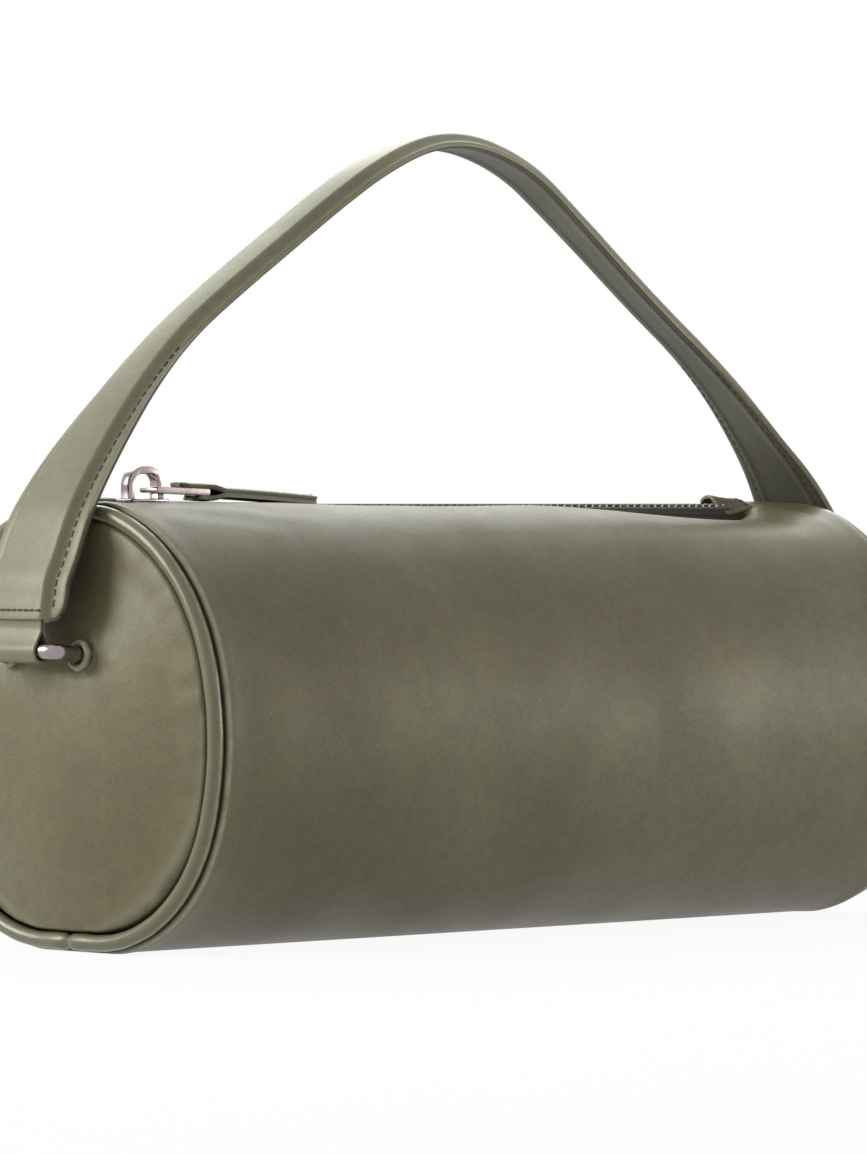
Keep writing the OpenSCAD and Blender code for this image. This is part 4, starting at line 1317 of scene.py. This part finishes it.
class BAG_OT_piping(bpy.types.Operator):
    """Build the piping of both ends"""

    bl_idname = "bag.piping"
    bl_label = "Piping"
    bl_options = {"REGISTER", "UNDO"}

    def execute(self, context):
        for side in (-1, 1):
            build_piping(side)
        return {"FINISHED"}


class BAG_OT_handle(bpy.types.Operator):
    """Build the handle strap with its lining and stitches"""

    bl_idname = "bag.handle"
    bl_label = "Handle"
    bl_options = {"REGISTER", "UNDO"}

    def execute(self, context):
        build_handle(context.scene.barrel_bag_sizes)
        return {"FINISHED"}


class BAG_OT_loops(bpy.types.Operator):
    """Build the leather loops round the staples"""

    bl_idname = "bag.loops"
    bl_label = "Loops"
    bl_options = {"REGISTER", "UNDO"}

    def execute(self, context):
        for side in (-1, 1):
            build_loop(side)
        return {"FINISHED"}


class BAG_OT_staples(bpy.types.Operator):
    """Finish the staples, plates and screws"""

    bl_idname = "bag.staples"
    bl_label = "Staples"
    bl_options = {"REGISTER", "UNDO"}

    def execute(self, context):
        build_staples()
        return {"FINISHED"}


class BAG_OT_zip(bpy.types.Operator):
    """Build the tapes, teeth and stops"""

    bl_idname = "bag.zip"
    bl_label = "Zip"
    bl_options = {"REGISTER", "UNDO"}

    def execute(self, context):
        build_zip()
        return {"FINISHED"}


class BAG_OT_zip_ends(bpy.types.Operator):
    """Build the leather covers of the zip's ends"""

    bl_idname = "bag.zip_ends"
    bl_label = "Zip Ends"
    bl_options = {"REGISTER", "UNDO"}

    def execute(self, context):
        build_zip_ends()
        return {"FINISHED"}


class BAG_OT_slider(bpy.types.Operator):
    """Finish the zip slider"""

    bl_idname = "bag.slider"
    bl_label = "Slider"
    bl_options = {"REGISTER", "UNDO"}

    def execute(self, context):
        build_slider()
        return {"FINISHED"}


class BAG_OT_puller(bpy.types.Operator):
    """Build the puller's link and leather tab"""

    bl_idname = "bag.puller"
    bl_label = "Puller"
    bl_options = {"REGISTER", "UNDO"}

    def execute(self, context):
        build_puller()
        return {"FINISHED"}


class BAG_OT_inside(bpy.types.Operator):
    """Finish the boards and linings"""

    bl_idname = "bag.inside"
    bl_label = "Inside"
    bl_options = {"REGISTER", "UNDO"}

    def execute(self, context):
        build_inside()
        return {"FINISHED"}


OPERATORS = [
    BAG_OT_stage, BAG_OT_wrap, BAG_OT_ends, BAG_OT_piping, BAG_OT_handle, BAG_OT_loops,
    BAG_OT_staples, BAG_OT_zip, BAG_OT_zip_ends, BAG_OT_slider, BAG_OT_puller, BAG_OT_inside,
]


class BAG_PT_pieces(bpy.types.Panel):
    """The bag's pieces, sizes and colours."""

    bl_idname = "BAG_PT_pieces"
    bl_label = "Barrel Bag"
    bl_space_type = "VIEW_3D"
    bl_region_type = "UI"
    bl_category = "Barrel Bag"

    def draw(self, context):
        for group in (context.scene.barrel_bag_sizes, context.scene.barrel_bag_look):
            box = self.layout.box()
            for key in group.__annotations__:
                box.prop(group, key)
        for operator in OPERATORS:
            self.layout.operator(operator.bl_idname)


CLASSES = [BarrelBagSizes, BarrelBagLook, *OPERATORS, BAG_PT_pieces]


def register():
    for cls in CLASSES:
        bpy.utils.register_class(cls)
    bpy.types.Scene.barrel_bag_sizes = bpy.props.PointerProperty(type=BarrelBagSizes)
    bpy.types.Scene.barrel_bag_look = bpy.props.PointerProperty(type=BarrelBagLook)


def unregister():
    del bpy.types.Scene.barrel_bag_look
    del bpy.types.Scene.barrel_bag_sizes
    for cls in reversed(CLASSES):
        bpy.utils.unregister_class(cls)


def main():
    """Build the whole bag."""
    register()
    for operator in OPERATORS:
        getattr(bpy.ops.bag, operator.bl_idname.split(".")[1])()


if __name__ == "__main__":
    main()
